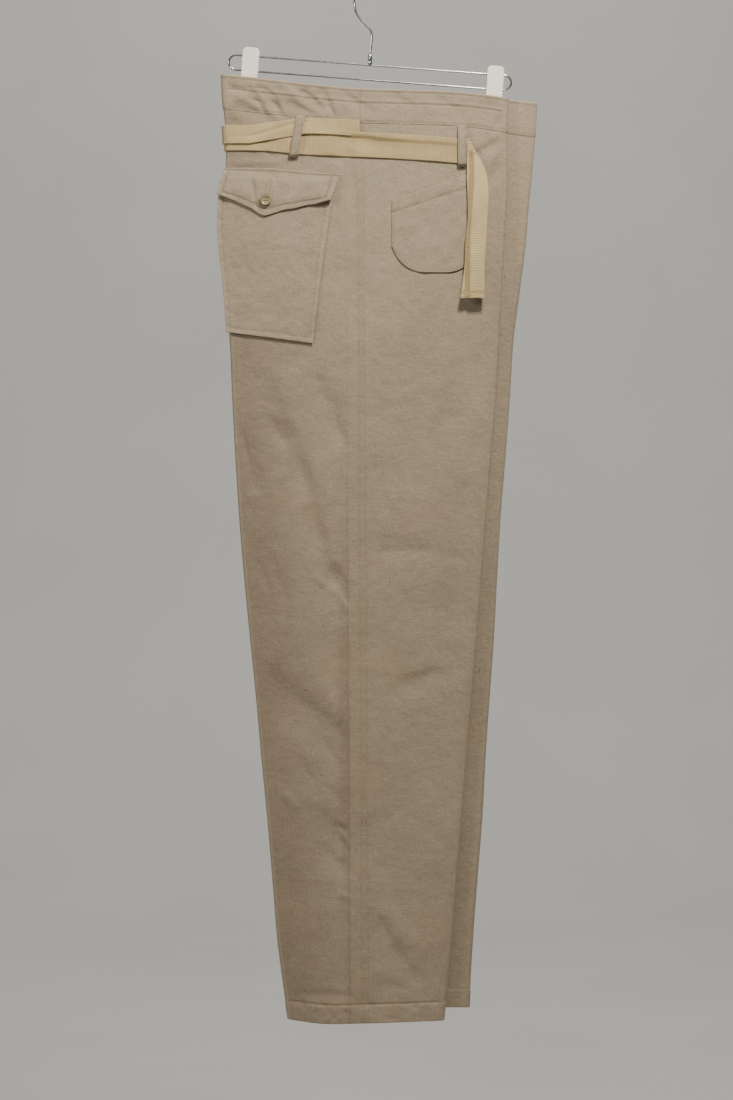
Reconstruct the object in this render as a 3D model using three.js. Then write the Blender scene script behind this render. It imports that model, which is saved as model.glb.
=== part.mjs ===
// Work trousers of unbleached cotton drill, folded lengthwise and held by the waist on a clip hanger.
// Millimetres, +Z up, +X towards the front of the garment, -Y towards who looks at its right side.
// The origin is the highest point inside the hanger's hook. The right half is the near one.
// Each leg is a flattened tube: an outer layer with the side seam, a round fold at its front and back
// edge, and an inner layer. Above the crotch the inner layers end at the centre front and centre back
// seams, which lie folded in between the two halves.
import * as THREE from "three";

const { lerp, clamp, smoothstep, degToRad } = THREE.MathUtils;

// Driving dimensions of the garment
const WAIST_TOP = -133.8;
const BAND_HEIGHT = 42;
const OUTSEAM = 1118;
const HEM_DEPTH = 22;
const CROTCH = -554;
const SEAM_X = { waist: -18, hem: -12 };
const SEAM_GAP = 0.3;
const CLOTH = 1.4;
const BAND_CLOTH = 2.4;
const HEM_CLOTH = 2.6;
const GARMENT_Y = -1.7;
const FAR_HEM_LIFT = 14;
const PATCH_CLOTH = 1.5;
const PATCH_LIFT = CLOTH / 2 + 0.6;
const BAND_LIFT = BAND_CLOTH / 2 + 0.5;

const BAND_BOTTOM = WAIST_TOP - BAND_HEIGHT;
const HEM = WAIST_TOP - OUTSEAM;

// The near half's back and front fold at each height, and how far the far half is moved to the front
const OUTLINE = [
  { z: -116, back: -183.6, front: 159.0, shift: 35.5 },
  { z: -146, back: -182.4, front: 158.6, shift: 34.5 },
  { z: -182, back: -178.6, front: 158.4, shift: 33.0 },
  { z: -218, back: -178.0, front: 158.0, shift: 30.0 },
  { z: -254, back: -180.0, front: 158.4, shift: 27.0 },
  { z: -308, back: -181.0, front: 155.0, shift: 26.4 },
  { z: -380, back: -178.0, front: 151.2, shift: 21.6 },
  { z: -434, back: -173.6, front: 148.6, shift: 17.4 },
  { z: -506, back: -170.4, front: 144.6, shift: 16.8 },
  { z: -578, back: -166.6, front: 138.4, shift: 17.6 },
  { z: -650, back: -162.0, front: 132.8, shift: 17.4 },
  { z: -722, back: -156.0, front: 127.0, shift: 19.0 },
  { z: -794, back: -149.0, front: 121.2, shift: 21.0 },
  { z: -866, back: -141.8, front: 115.2, shift: 21.8 },
  { z: -938, back: -135.4, front: 109.2, shift: 22.8 },
  { z: -1010, back: -128.4, front: 103.2, shift: 25.0 },
  { z: -1082, back: -122.4, front: 97.2, shift: 25.4 },
  { z: -1154, back: -116.4, front: 91.2, shift: 25.8 },
  { z: -1208, back: -109.4, front: 86.0, shift: 27.4 },
  { z: -1252, back: -103.2, front: 81.6, shift: 29.6 },
];

// The centre front and centre back seams, from the waist down to the crotch
const RISE = [
  { z: -116, front: 145.0, back: -136.0 },
  { z: -175, front: 138.0, back: -124.0 },
  { z: -254, front: 117.0, back: -98.0 },
  { z: -362, front: 78.0, back: -58.0 },
  { z: -440, front: 56.0, back: -38.0 },
  { z: -500, front: 41.0, back: -30.0 },
  { z: -530, front: 25.0, back: -25.0 },
  { z: -545, front: 6.0, back: -20.5 },
  { z: -554, front: -16.0, back: -16.0 },
];
const INSEAM = { crotch: -16, nearHem: -12, farHem: 14 };

// The flattened tubes: width between the layers at mid leg, radius of the edge fold, and how far the
// inner layer lies from the plane between the two halves
const TUBE = [
  { z: -116, near: 8.0, far: 3.4, nearFold: 4.0, farFold: 1.7, inner: 1.35 },
  { z: -176, near: 8.6, far: 3.8, nearFold: 4.0, farFold: 1.8, inner: 1.4 },
  { z: -260, near: 13.0, far: 9.0, nearFold: 4.5, farFold: 3.2, inner: 1.9 },
  { z: -400, near: 18.0, far: 16.0, nearFold: 5.0, farFold: 4.5, inner: 2.4 },
  { z: -560, near: 18.0, far: 17.0, nearFold: 4.6, farFold: 4.4, inner: 2.4 },
  { z: -800, near: 15.0, far: 14.0, nearFold: 4.2, farFold: 4.0, inner: 2.3 },
  { z: -1050, near: 15.0, far: 14.0, nearFold: 4.2, farFold: 4.0, inner: 2.2 },
  { z: -1252, near: 17.0, far: 16.0, nearFold: 4.8, farFold: 4.6, inner: 2.2 },
];

// How far the waistband's edges rise from the side seam's height, and the hem's bottom edge
const WAIST_LINE = [
  { x: -184, up: 17.4 },
  { x: -126, up: 11.0 },
  { x: -90, up: 6.6 },
  { x: -54, up: 3.0 },
  { x: -18, up: 0.0 },
  { x: 45, up: -1.6 },
  { x: 90, up: -3.2 },
  { x: 126, up: -6.6 },
  { x: 160, up: -11.6 },
  { x: 195, up: -16.0 },
];
const HEM_LINE = [
  { x: -104, up: 4.0 },
  { x: -62, up: -0.8 },
  { x: -12, up: 0.0 },
  { x: 82, up: 2.4 },
  { x: 112, up: 2.4 },
];
const WAIST_LINE_FADES_AT = -430;
const HEM_LINE_FADES_AT = -1120;

// The largest soft folds of the outer layers, each a trough along a line; a negative depth is a ridge
const CREASES = [
  { x1: -108, z1: -557, x2: -67, z2: -684, depth: 3.2, width: 17 },
  { x1: -67, z1: -684, x2: -38, z2: -742, depth: 3.0, width: 16 },
  { x1: -160, z1: -548, x2: -138, z2: -622, depth: 2.6, width: 15 },
  { x1: -84, z1: -468, x2: -42, z2: -556, depth: 2.4, width: 16 },
  { x1: 0, z1: -690, x2: 72, z2: -668, depth: 2.4, width: 18 },
  { x1: -132, z1: -842, x2: -52, z2: -904, depth: 2.8, width: 26 },
  { x1: 2, z1: -1118, x2: 40, z2: -1160, depth: -2.6, width: 20 },
  { x1: -60, z1: -1010, x2: -34, z2: -1050, depth: 2.2, width: 18 },
  { x1: 104, z1: -470, x2: 74, z2: -560, depth: 2.2, width: 18 },
];
const FAR_CREASE = { move: 24, drop: -46, share: 0.85 };

const COLOURS = {
  drill: 0xc2b195,
  webbing: 0xd6c59b,
  button: 0xc9c2a0,
  plastic: 0xe9e2cf,
  wire: 0xc9ccd0,
};

const material = (color, roughness, metalness = 0) =>
  new THREE.MeshStandardMaterial({ color, roughness, metalness });
const MATERIALS = {
  drill: material(COLOURS.drill, 0.92),
  webbing: material(COLOURS.webbing, 0.85),
  button: material(COLOURS.button, 0.4),
  plastic: material(COLOURS.plastic, 0.45),
  wire: material(COLOURS.wire, 0.22, 1),
};

// A smooth curve through one column of a table, read at a value of its key column
function reader(table, key, column) {
  const rows = [...table].sort((a, b) => a[key] - b[key]);
  const last = rows.length - 1;
  const slope = (i) => {
    const low = rows[Math.max(i - 1, 0)];
    const high = rows[Math.min(i + 1, last)];
    return (high[column] - low[column]) / (high[key] - low[key]);
  };
  return (at) => {
    const value = clamp(at, rows[0][key], rows[last][key]);
    const i = Math.min(Math.max(rows.findIndex((row) => row[key] > value) - 1, 0), last - 1);
    const low = value >= rows[last][key] ? last - 1 : i;
    const step = rows[low + 1][key] - rows[low][key];
    const t = (value - rows[low][key]) / step;
    const [t2, t3] = [t * t, t * t * t];
    return (
      (2 * t3 - 3 * t2 + 1) * rows[low][column] +
      (t3 - 2 * t2 + t) * step * slope(low) +
      (3 * t2 - 2 * t3) * rows[low + 1][column] +
      (t3 - t2) * step * slope(low + 1)
    );
  };
}

const outline = {
  back: reader(OUTLINE, "z", "back"),
  front: reader(OUTLINE, "z", "front"),
  shift: reader(OUTLINE, "z", "shift"),
};
const rise = { back: reader(RISE, "z", "back"), front: reader(RISE, "z", "front") };
const waistLine = reader(WAIST_LINE, "x", "up");
const hemLine = reader(HEM_LINE, "x", "up");
const tubeOf = (depth, fold) => ({
  depth: reader(TUBE, "z", depth),
  fold: reader(TUBE, "z", fold),
  inner: reader(TUBE, "z", "inner"),
});

const RIGHT = { name: "right", side: -1, tube: tubeOf("near", "nearFold"), hemX: INSEAM.nearHem };
const LEFT = { name: "left", side: 1, tube: tubeOf("far", "farFold"), hemX: INSEAM.farHem };
const HALVES = [RIGHT, LEFT];

// How much higher than the side seam's point a ring lies at x
function tilt(x, level) {
  const top = smoothstep(level, WAIST_LINE_FADES_AT, BAND_BOTTOM);
  const bottom = 1 - smoothstep(level, HEM, HEM_LINE_FADES_AT);
  return waistLine(x) * top + hemLine(x) * bottom;
}

// A number that goes from 0 at the crotch to 1 at the hem
const downLeg = (level) => clamp((CROTCH - level) / (CROTCH - HEM), 0, 1);

// The flattened tube of one half at one level, which is its height at the side seam
function ringAt(half, level, cloth = CLOTH) {
  const far = half.side > 0;
  const lift = far ? FAR_HEM_LIFT * downLeg(level) : 0;
  const shift = far ? outline.shift(level) : 0;
  const foldX = (edge) => {
    const first = outline[edge](level) + shift;
    return outline[edge](level + lift + tilt(first, level)) + shift;
  };
  const aboveCrotch = level > CROTCH;
  const seamY = SEAM_GAP / 2 + cloth / 2;
  const inner = half.tube.inner(level);
  const inseam = lerp(INSEAM.crotch, half.hemX, downLeg(level));
  return {
    half,
    level,
    lift,
    back: foldX("back"),
    front: foldX("front"),
    seam: lerp(SEAM_X.waist, SEAM_X.hem, (BAND_BOTTOM - level) / (BAND_BOTTOM - HEM)) + shift,
    depth: half.tube.depth(level),
    fold: half.tube.fold(level),
    inner,
    innerBack: aboveCrotch ? Math.min(rise.back(level), inseam) : inseam,
    innerFront: aboveCrotch ? Math.max(rise.front(level), inseam) : inseam,
    seamY: lerp(seamY, inner, clamp((CROTCH - level) / 60, 0, 1)),
  };
}

// How deep the soft folds press the outer layer in at a place
function creaseAt(half, x, z) {
  const far = half.side > 0;
  let sum = 0;
  for (const fold of CREASES) {
    const [px, pz] = far ? [x - FAR_CREASE.move, z - FAR_CREASE.drop] : [x, z];
    const [dx, dz] = [fold.x2 - fold.x1, fold.z2 - fold.z1];
    const along = ((px - fold.x1) * dx + (pz - fold.z1) * dz) / (dx * dx + dz * dz);
    const t = clamp(along, 0, 1);
    const away = Math.hypot(px - fold.x1 - t * dx, pz - fold.z1 - t * dz) / fold.width;
    sum += fold.depth * Math.exp(-away * away);
  }
  return sum * (far ? FAR_CREASE.share : 1);
}

const heightAt = (ring, x) => ring.level + ring.lift + tilt(x, ring.level);

// The middle of the outer layer's wall at x; past the fold's start it stays flat
function outerY(ring, x) {
  const { half, back, front, fold, depth, inner } = ring;
  const fromEdge = Math.min(x - back, front - x);
  const share = clamp((fromEdge - fold) / ((front - back) / 2 - fold), 0, 1);
  const width = 2 * fold + (depth - 2 * fold) * (1 - (1 - share) ** 2);
  const calm = smoothstep(fromEdge, fold, fold + 26);
  const crease = creaseAt(half, x, heightAt(ring, x)) * calm;
  return GARMENT_Y + half.side * (inner + width - crease);
}

function innerY(ring, x, edge) {
  const bend = 1 - smoothstep(Math.abs(x - edge), 0, 22);
  return GARMENT_Y + ring.half.side * lerp(ring.inner, ring.seamY, bend);
}

// The ring that passes through height z at x
function ringThrough(half, x, z) {
  let level = z;
  for (let pass = 0; pass < 4; pass += 1) {
    level = z - tilt(x, level) - (half.side > 0 ? FAR_HEM_LIFT * downLeg(level) : 0);
  }
  return ringAt(half, level);
}

// A place on the outer layer, found by x and height, moved out by lift
function onOuter(half, x, z, lift) {
  const ring = ringThrough(half, x, z);
  return new THREE.Vector3(x, outerY(ring, x) + half.side * lift, z);
}

// A closed wall round a grid of points: rows of equal length, each point with its own half thickness
function wall(rows, thicknessAt, normalAt = gridNormal) {
  const [tall, wide] = [rows.length, rows[0].length];
  const positions = [];
  for (const face of [1, -1]) {
    rows.forEach((row, i) =>
      row.forEach((point, j) => {
        const out = normalAt(rows, i, j).multiplyScalar((face * thicknessAt(i)) / 2);
        positions.push(...point.clone().add(out).toArray());
      }),
    );
  }
  const id = (face, i, j) => face * tall * wide + i * wide + j;
  const triangles = [];
  const quad = (a, b, c, d) => triangles.push(a, b, c, a, c, d);
  for (let i = 0; i + 1 < tall; i += 1) {
    for (let j = 0; j + 1 < wide; j += 1) {
      quad(id(0, i, j), id(0, i, j + 1), id(0, i + 1, j + 1), id(0, i + 1, j));
      quad(id(1, i, j), id(1, i + 1, j), id(1, i + 1, j + 1), id(1, i, j + 1));
    }
    quad(id(0, i, 0), id(0, i + 1, 0), id(1, i + 1, 0), id(1, i, 0));
    quad(id(0, i + 1, wide - 1), id(0, i, wide - 1), id(1, i, wide - 1), id(1, i + 1, wide - 1));
  }
  for (let j = 0; j + 1 < wide; j += 1) {
    quad(id(0, 0, j + 1), id(0, 0, j), id(1, 0, j), id(1, 0, j + 1));
    quad(id(0, tall - 1, j), id(0, tall - 1, j + 1), id(1, tall - 1, j + 1), id(1, tall - 1, j));
  }
  return closed(positions, triangles);
}

// An indexed geometry whose faces point out
function closed(positions, triangles) {
  const corner = (k) => new THREE.Vector3().fromArray(positions, 3 * triangles[k]);
  let volume = 0;
  for (let k = 0; k < triangles.length; k += 3) {
    volume += corner(k).dot(corner(k + 1).cross(corner(k + 2)));
  }
  if (volume < 0) triangles.reverse();
  const geometry = new THREE.BufferGeometry();
  geometry.setAttribute("position", new THREE.Float32BufferAttribute(positions, 3));
  geometry.setIndex(triangles);
  geometry.computeVertexNormals();
  return geometry;
}

function gridNormal(rows, i, j) {
  const above = rows[Math.max(i - 1, 0)][j];
  const below = rows[Math.min(i + 1, rows.length - 1)][j];
  const before = rows[i][Math.max(j - 1, 0)];
  const after = rows[i][Math.min(j + 1, rows[i].length - 1)];
  const across = after.clone().sub(before);
  return across.cross(below.clone().sub(above)).normalize();
}

const root = new THREE.Group();

function add(name, geometry, look, parent = root) {
  const mesh = new THREE.Mesh(geometry, look);
  mesh.name = name;
  parent.add(mesh);
  return mesh;
}

// Stations along a section, from the side seam over the edge fold to the inner edge
const STATIONS = { outer: 7, fold: 4, inner: 5 };
const FOLD_GAP = SEAM_GAP / 2;

const foldAngle = (k) => (Math.PI * k) / STATIONS.fold;
const edgeSide = (edgeName) => (edgeName === "front" ? 1 : -1);

// The three stretches of a section: outer layer, edge fold and inner layer
function stretches(ring, edgeName) {
  const toFront = edgeSide(edgeName);
  const { half, fold } = ring;
  const start = ring.seam + (toFront * SEAM_GAP) / 2;
  const turn = ring[edgeName] - toFront * fold;
  const innerEdge = edgeName === "front" ? ring.innerFront : ring.innerBack;
  const end = innerEdge + (toFront * SEAM_GAP) / 2;
  const place = (x, y) => new THREE.Vector3(x, y, heightAt(ring, x));
  const steps = (count, make) => Array.from({ length: count + 1 }, (_, k) => make(k));
  return {
    outer: (turnGap) =>
      steps(STATIONS.outer, (k) => {
        const x = lerp(start, turn - toFront * turnGap, k / STATIONS.outer);
        return place(x, outerY(ring, x));
      }),
    fold: (turnGap) =>
      steps(STATIONS.fold, (k) => {
        const out = Math.max(turnGap, fold * Math.sin(foldAngle(k)));
        const across = ring.inner + fold + fold * Math.cos(foldAngle(k));
        return place(turn + toFront * out, GARMENT_Y + half.side * across);
      }),
    inner: (turnGap) =>
      steps(STATIONS.inner, (k) => {
        const x = lerp(turn - toFront * turnGap, end, k / STATIONS.inner);
        return place(x, innerY(ring, x, innerEdge));
      }),
  };
}

// A whole section in one line, for a piece that isn't parted at its fold
function section(ring, edgeName) {
  const { outer, fold, inner } = stretches(ring, edgeName);
  return [...outer(0), ...fold(0).slice(1, -1), ...inner(0)];
}

// Evenly spaced levels, without the first
const levels = (from, to, count) =>
  Array.from({ length: count }, (_, k) => lerp(from, to, (k + 1) / count));

// The leg panels run from the waistband's seam to the hem and are doubled where the hem is turned up.
// Each is parted at its pressed fold into an outer layer, a fold and an inner layer.
const HEM_TOP = HEM + HEM_DEPTH;
const PANEL_TOP = BAND_BOTTOM - SEAM_GAP / 2;
const PANEL_LEVELS = [
  PANEL_TOP,
  ...levels(PANEL_TOP, -500, 10),
  ...levels(-500, CROTCH + 24, 1),
  ...levels(CROTCH + 24, CROTCH, 2),
  ...levels(CROTCH, HEM_TOP + 1, 13),
  HEM_TOP - 0.5,
  HEM,
];
const panelThickness = (i) => (PANEL_LEVELS[i] < HEM_TOP ? HEM_CLOTH : CLOTH);

function addPanel(half, edge) {
  const sections = PANEL_LEVELS.map((level) => stretches(ringAt(half, level), edge));
  const foldNormal = (_, i, k) =>
    new THREE.Vector3(edgeSide(edge) * Math.sin(foldAngle(k)), half.side * Math.cos(foldAngle(k)), 0);
  const layers = [
    { name: `${half.name}_${edge}`, stretch: "outer", normal: gridNormal },
    { name: `${half.name}_${edge}_fold`, stretch: "fold", normal: foldNormal },
    { name: `${half.name}_${edge}_inner`, stretch: "inner", normal: gridNormal },
  ];
  for (const { name, stretch, normal } of layers) {
    const rows = sections.map((lines) => lines[stretch](FOLD_GAP));
    add(name, wall(rows, panelThickness, normal), MATERIALS.drill);
  }
}

function addPanels() {
  for (const half of HALVES) {
    addPanel(half, "back");
    addPanel(half, "front");
  }
}

function addWaistband() {
  const bandLevels = [WAIST_TOP, (WAIST_TOP + BAND_BOTTOM) / 2, BAND_BOTTOM + SEAM_GAP / 2];
  for (const half of HALVES) {
    for (const edge of ["back", "front"]) {
      const rows = bandLevels.map((level) => section(ringAt(half, level, BAND_CLOTH), edge));
      add(`waistband_${half.name}_${edge}`, wall(rows, () => BAND_CLOTH), MATERIALS.drill);
    }
  }
}

// A patch lies on the outer layer: its grid gives x, height and lift over the middle of the panel's wall
function patch(half, rows, thickness) {
  const places = rows.map((row) =>
    row.map(({ x, z, lift }) => {
      const move = half.side > 0 ? outline.shift(z) : 0;
      return onOuter(half, x + move, z, lift + thickness / 2);
    }),
  );
  return wall(places, () => thickness, () => new THREE.Vector3(0, half.side, 0));
}

// The edges of the back pocket's rows
const BACK_POCKET = [
  { leftX: -186.0, leftZ: -244.0, rightX: -48.6, rightZ: -251.0 },
  { leftX: -188.0, leftZ: -272.0, rightX: -53.0, rightZ: -276.0 },
  { leftX: -189.0, leftZ: -300.0, rightX: -57.0, rightZ: -303.0 },
  { leftX: -187.0, leftZ: -328.0, rightX: -61.8, rightZ: -334.0 },
  { leftX: -183.0, leftZ: -362.0, rightX: -66.0, rightZ: -370.0 },
  { leftX: -180.0, leftZ: -396.0, rightX: -70.6, rightZ: -406.0 },
  { leftX: -178.4, leftZ: -426.0, rightX: -74.4, rightZ: -440.0 },
];
const BACK_POCKET_COLUMNS = 6;

function addBackPocket(half) {
  const rows = BACK_POCKET.map(({ leftX, leftZ, rightX, rightZ }) =>
    Array.from({ length: BACK_POCKET_COLUMNS + 1 }, (_, k) => {
      const t = k / BACK_POCKET_COLUMNS;
      return { x: lerp(leftX, rightX, t), z: lerp(leftZ, rightZ, t), lift: PATCH_LIFT };
    }),
  );
  add(`back_pocket_${half.name}`, patch(half, rows, PATCH_CLOTH), MATERIALS.drill);
}

// The flap's columns: its sewn top edge and its free lower edge, which ends in a point
const FLAP = [
  { topX: -179.0, topZ: -229.5, bottomX: -189.6, bottomZ: -261.0 },
  { topX: -160.0, topZ: -229.5, bottomX: -168.0, bottomZ: -270.0 },
  { topX: -140.0, topZ: -229.8, bottomX: -149.0, bottomZ: -278.6 },
  { topX: -124.0, topZ: -230.0, bottomX: -133.2, bottomZ: -286.3 },
  { topX: -100.0, topZ: -232.4, bottomX: -108.0, bottomZ: -281.4 },
  { topX: -72.0, topZ: -235.2, bottomX: -80.0, bottomZ: -275.0 },
  { topX: -42.0, topZ: -237.4, bottomX: -52.8, bottomZ: -268.8 },
];
const FLAP_CLOTH = 2.0;
const OVER_POCKET = PATCH_LIFT + PATCH_CLOTH + 0.4;
const FLAP_ROWS = [
  { down: 0, lift: PATCH_LIFT },
  { down: 0.12, lift: PATCH_LIFT + 0.3 },
  { down: 0.3, lift: OVER_POCKET },
  { down: 0.65, lift: OVER_POCKET + 0.5 },
  { down: 1, lift: OVER_POCKET + 0.3 },
];

function addFlap(half) {
  const rows = FLAP_ROWS.map(({ down, lift }) =>
    FLAP.map(({ topX, topZ, bottomX, bottomZ }) => ({
      x: lerp(topX, bottomX, down),
      z: lerp(topZ, bottomZ, down),
      lift,
    })),
  );
  add(`pocket_flap_${half.name}`, patch(half, rows, FLAP_CLOTH), MATERIALS.drill);
}

// A shirt-style button: a rimmed disc whose back is at its place and whose face is on the given side
const BUTTON = { radius: 7, thick: 3, rim: 1.6, dish: 0.6 };

function buttonGeometry() {
  const { radius, thick, rim, dish } = BUTTON;
  const profile = [
    new THREE.Vector2(0, 0),
    new THREE.Vector2(radius - 1.2, 0),
    new THREE.Vector2(radius, thick * 0.45),
    new THREE.Vector2(radius - 0.5, thick),
    new THREE.Vector2(radius - rim, thick),
    new THREE.Vector2(radius - rim - 0.7, thick - dish),
    new THREE.Vector2(0, thick - dish),
  ];
  return new THREE.LatheGeometry(profile, 20);
}

function addButton(name, place, side) {
  const button = add(name, buttonGeometry(), MATERIALS.button);
  button.position.copy(place);
  button.rotation.x = side < 0 ? Math.PI : 0;
}

const FLAP_BUTTON = { x: -130.6, z: -268.2 };

function addFlapButton(half) {
  const move = half.side > 0 ? outline.shift(FLAP_BUTTON.z) : 0;
  const lift = OVER_POCKET + FLAP_CLOTH + 1.0;
  const place = onOuter(half, FLAP_BUTTON.x + move, FLAP_BUTTON.z, lift);
  addButton(`flap_button_${half.name}`, place, half.side);
}

// The front pocket: a slanted top edge and a round bottom
const FRONT_POCKET = { left: 20, right: 124.4, topLeft: -268.8, topRight: -233, bottom: -355, corner: 40 };
const FRONT_POCKET_GRID = { columns: 10, rows: 5 };

function addFrontPocket(half) {
  const { left, right, topLeft, topRight, bottom, corner } = FRONT_POCKET;
  const middle = (left + right) / 2;
  const bottomAt = (x) => {
    const out = Math.max(0, Math.abs(x - middle) - ((right - left) / 2 - corner)) / corner;
    return bottom + corner * (1 - Math.sqrt(1 - Math.min(out, 0.97) ** 2));
  };
  const rows = Array.from({ length: FRONT_POCKET_GRID.rows + 1 }, (_, i) =>
    Array.from({ length: FRONT_POCKET_GRID.columns + 1 }, (_, k) => {
      const turn = (Math.PI * k) / FRONT_POCKET_GRID.columns;
      const x = middle - ((right - left) / 2) * Math.cos(turn);
      const top = lerp(topLeft, topRight, (x - left) / (right - left));
      return { x, z: lerp(top, bottomAt(x), i / FRONT_POCKET_GRID.rows), lift: PATCH_LIFT };
    }),
  );
  add(`front_pocket_${half.name}`, patch(half, rows, PATCH_CLOTH), MATERIALS.drill);
}

// The belt lies under the waist tape, and the loops go over both
const WEBBING = 1.6;
const BELT_LIFT = PATCH_LIFT;
const TAPE_LIFT = BELT_LIFT + WEBBING + 0.5;
const OVER_BELTS = TAPE_LIFT + WEBBING + 0.5;
const BELT_WIDTH = 30;
const BELT = [
  { x: 113.4, z: -209.6, width: BELT_WIDTH },
  { x: 98.0, z: -209.0, width: BELT_WIDTH },
  { x: 74.0, z: -206.8, width: BELT_WIDTH },
  { x: 49.0, z: -205.2, width: BELT_WIDTH },
  { x: 19.0, z: -203.4, width: BELT_WIDTH },
  { x: -25.0, z: -201.5, width: BELT_WIDTH },
  { x: -60.0, z: -200.0, width: BELT_WIDTH },
  { x: -90.0, z: -198.4, width: BELT_WIDTH },
  { x: -128.0, z: -194.6, width: BELT_WIDTH },
  { x: -150.0, z: -193.8, width: BELT_WIDTH },
];
const TAPE = [
  { x: -18.3, z: -182.0, width: 20 },
  { x: -50.0, z: -180.4, width: 19 },
  { x: -82.8, z: -179.6, width: 19 },
  { x: -96.0, z: -181.4, width: 20 },
  { x: -126.0, z: -185.6, width: 21.6 },
  { x: -150.0, z: -189.6, width: 22 },
];
const BACK_ARC_STEPS = 5;

// One edge or the middle of a band round the back, at a share of its width above its middle: along
// the near side, round both back folds and along the far side, with the way out at each place
function bandLine(table, lift, share) {
  const last = table.at(-1);
  const lastZ = last.z + share * last.width;
  const line = table.map(({ x, z, width }) => ({
    place: onOuter(RIGHT, x, z + share * width, lift),
    out: new THREE.Vector3(0, -1, 0),
  }));
  const noses = HALVES.map((half) => {
    const { back, fold, inner } = ringThrough(half, last.x, lastZ);
    return { x: back + fold, y: GARMENT_Y + half.side * (inner + fold), radius: fold + lift };
  });
  const [near, far] = noses;
  const along = Math.atan2(far.y - near.y, far.x - near.x);
  const apart = Math.hypot(far.x - near.x, far.y - near.y);
  const bridge = along + Math.PI / 2 + Math.asin((near.radius - far.radius) / apart);
  const arc = (nose, from, to) => {
    for (let k = 0; k <= BACK_ARC_STEPS; k += 1) {
      const angle = lerp(from, to, k / BACK_ARC_STEPS);
      const out = new THREE.Vector3(Math.cos(angle), Math.sin(angle), 0);
      const place = new THREE.Vector3(nose.x, nose.y, lastZ).addScaledVector(out, nose.radius);
      line.push({ place, out });
    }
  };
  arc(near, (3 * Math.PI) / 2, bridge);
  arc(far, bridge, Math.PI / 2);
  for (const { x, z, width } of [...table].reverse()) {
    const place = onOuter(LEFT, x + outline.shift(z), z + share * width, lift);
    line.push({ place, out: new THREE.Vector3(0, 1, 0) });
  }
  return line;
}

function band(table, lift) {
  const lines = [0.5, 0, -0.5].map((share) => bandLine(table, lift + WEBBING / 2, share));
  const rows = lines.map((line) => line.map(({ place }) => place));
  return wall(rows, () => WEBBING, (_, i, j) => lines[i][j].out.clone());
}

function addBelts() {
  add("belt", band(BELT, BELT_LIFT), MATERIALS.webbing);
  add("waist_tape", band(TAPE, TAPE_LIFT), MATERIALS.webbing);
}

// The belt's free ends hang clear of the cloth
const FREE_END = [
  { z: -198.0, left: 110.0, right: 114.4, lift: OVER_BELTS - 1.6 },
  { z: -207.0, left: 109.8, right: 119.0, lift: OVER_BELTS - 1.6 },
  { z: -224.4, left: 109.8, right: 128.4, lift: OVER_BELTS + 0.4 },
  { z: -244.0, left: 109.8, right: 134.4, lift: OVER_BELTS + 2.4 },
  { z: -268.0, left: 110.6, right: 135.6, lift: 9.5 },
  { z: -292.0, left: 110.4, right: 134.0, lift: 10.5 },
  { z: -316.0, left: 108.0, right: 132.8, lift: 11.0 },
  { z: -350.0, left: 106.4, right: 130.8, lift: 11.4 },
  { z: -386.4, left: 101.4, right: 130.8, lift: 11.8 },
];

function addFreeEnd(half) {
  const rows = FREE_END.map(({ z, left, right, lift }) => {
    const move = half.side > 0 ? outline.shift(z) : 0;
    const middle = onOuter(half, 112 + move, z, lift).y;
    return [left, (left + right) / 2, right].map((x) => new THREE.Vector3(x + move, middle, z));
  });
  const out = () => new THREE.Vector3(0, half.side, 0);
  add(`belt_end_${half.name}`, wall(rows, () => WEBBING, out), MATERIALS.webbing);
}

// Belt loops: strips sewn on above and below the belt
const LOOP_CLOTH = 1.8;
const LOOPS = [
  { name: "back", topX: -88.8, topZ: -166.0, bottomX: -97.4, bottomZ: -217.6, width: 10.4, over: 0.07 },
  { name: "front", topX: 104.1, topZ: -178.2, bottomX: 104.1, bottomZ: -228.7, width: 10.2, over: 0.28 },
];
const LOOP_LEAVES = 0.92;
const loopRows = (over) => [
  { down: 0, lift: BAND_LIFT },
  { down: over, lift: OVER_BELTS },
  { down: 0.5, lift: OVER_BELTS + 0.4 },
  { down: LOOP_LEAVES, lift: OVER_BELTS },
  { down: 1, lift: PATCH_LIFT },
];

function addLoops(half) {
  for (const { name, topX, topZ, bottomX, bottomZ, width, over } of LOOPS) {
    const rows = loopRows(over).map(({ down, lift }) =>
      [-0.5, 0.5].map((across) => ({
        x: lerp(topX, bottomX, down) + across * width,
        z: lerp(topZ, bottomZ, down),
        lift,
      })),
    );
    add(`loop_${half.name}_${name}`, patch(half, rows, LOOP_CLOTH), MATERIALS.drill);
  }
}

// The fly shield runs in from the centre front seam, with the waist button on its top
const FLY = { width: 38, bottom: -330, cloth: 1.4, rows: 6 };

function addFly() {
  const rows = Array.from({ length: FLY.rows + 1 }, (_, i) => {
    const z = lerp(WAIST_TOP - 14, FLY.bottom, i / FLY.rows);
    const edge = rise.front(z) - SEAM_GAP;
    return [edge - FLY.width, edge].map((x) => new THREE.Vector3(x, GARMENT_Y, z));
  });
  const out = () => new THREE.Vector3(0, -1, 0);
  add("fly_shield", wall(rows, () => FLY.cloth, out), MATERIALS.drill);
  const place = new THREE.Vector3(119, GARMENT_Y - FLY.cloth / 2 - 0.3, WAIST_TOP - 24);
  addButton("waist_button", place, RIGHT.side);
}

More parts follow.
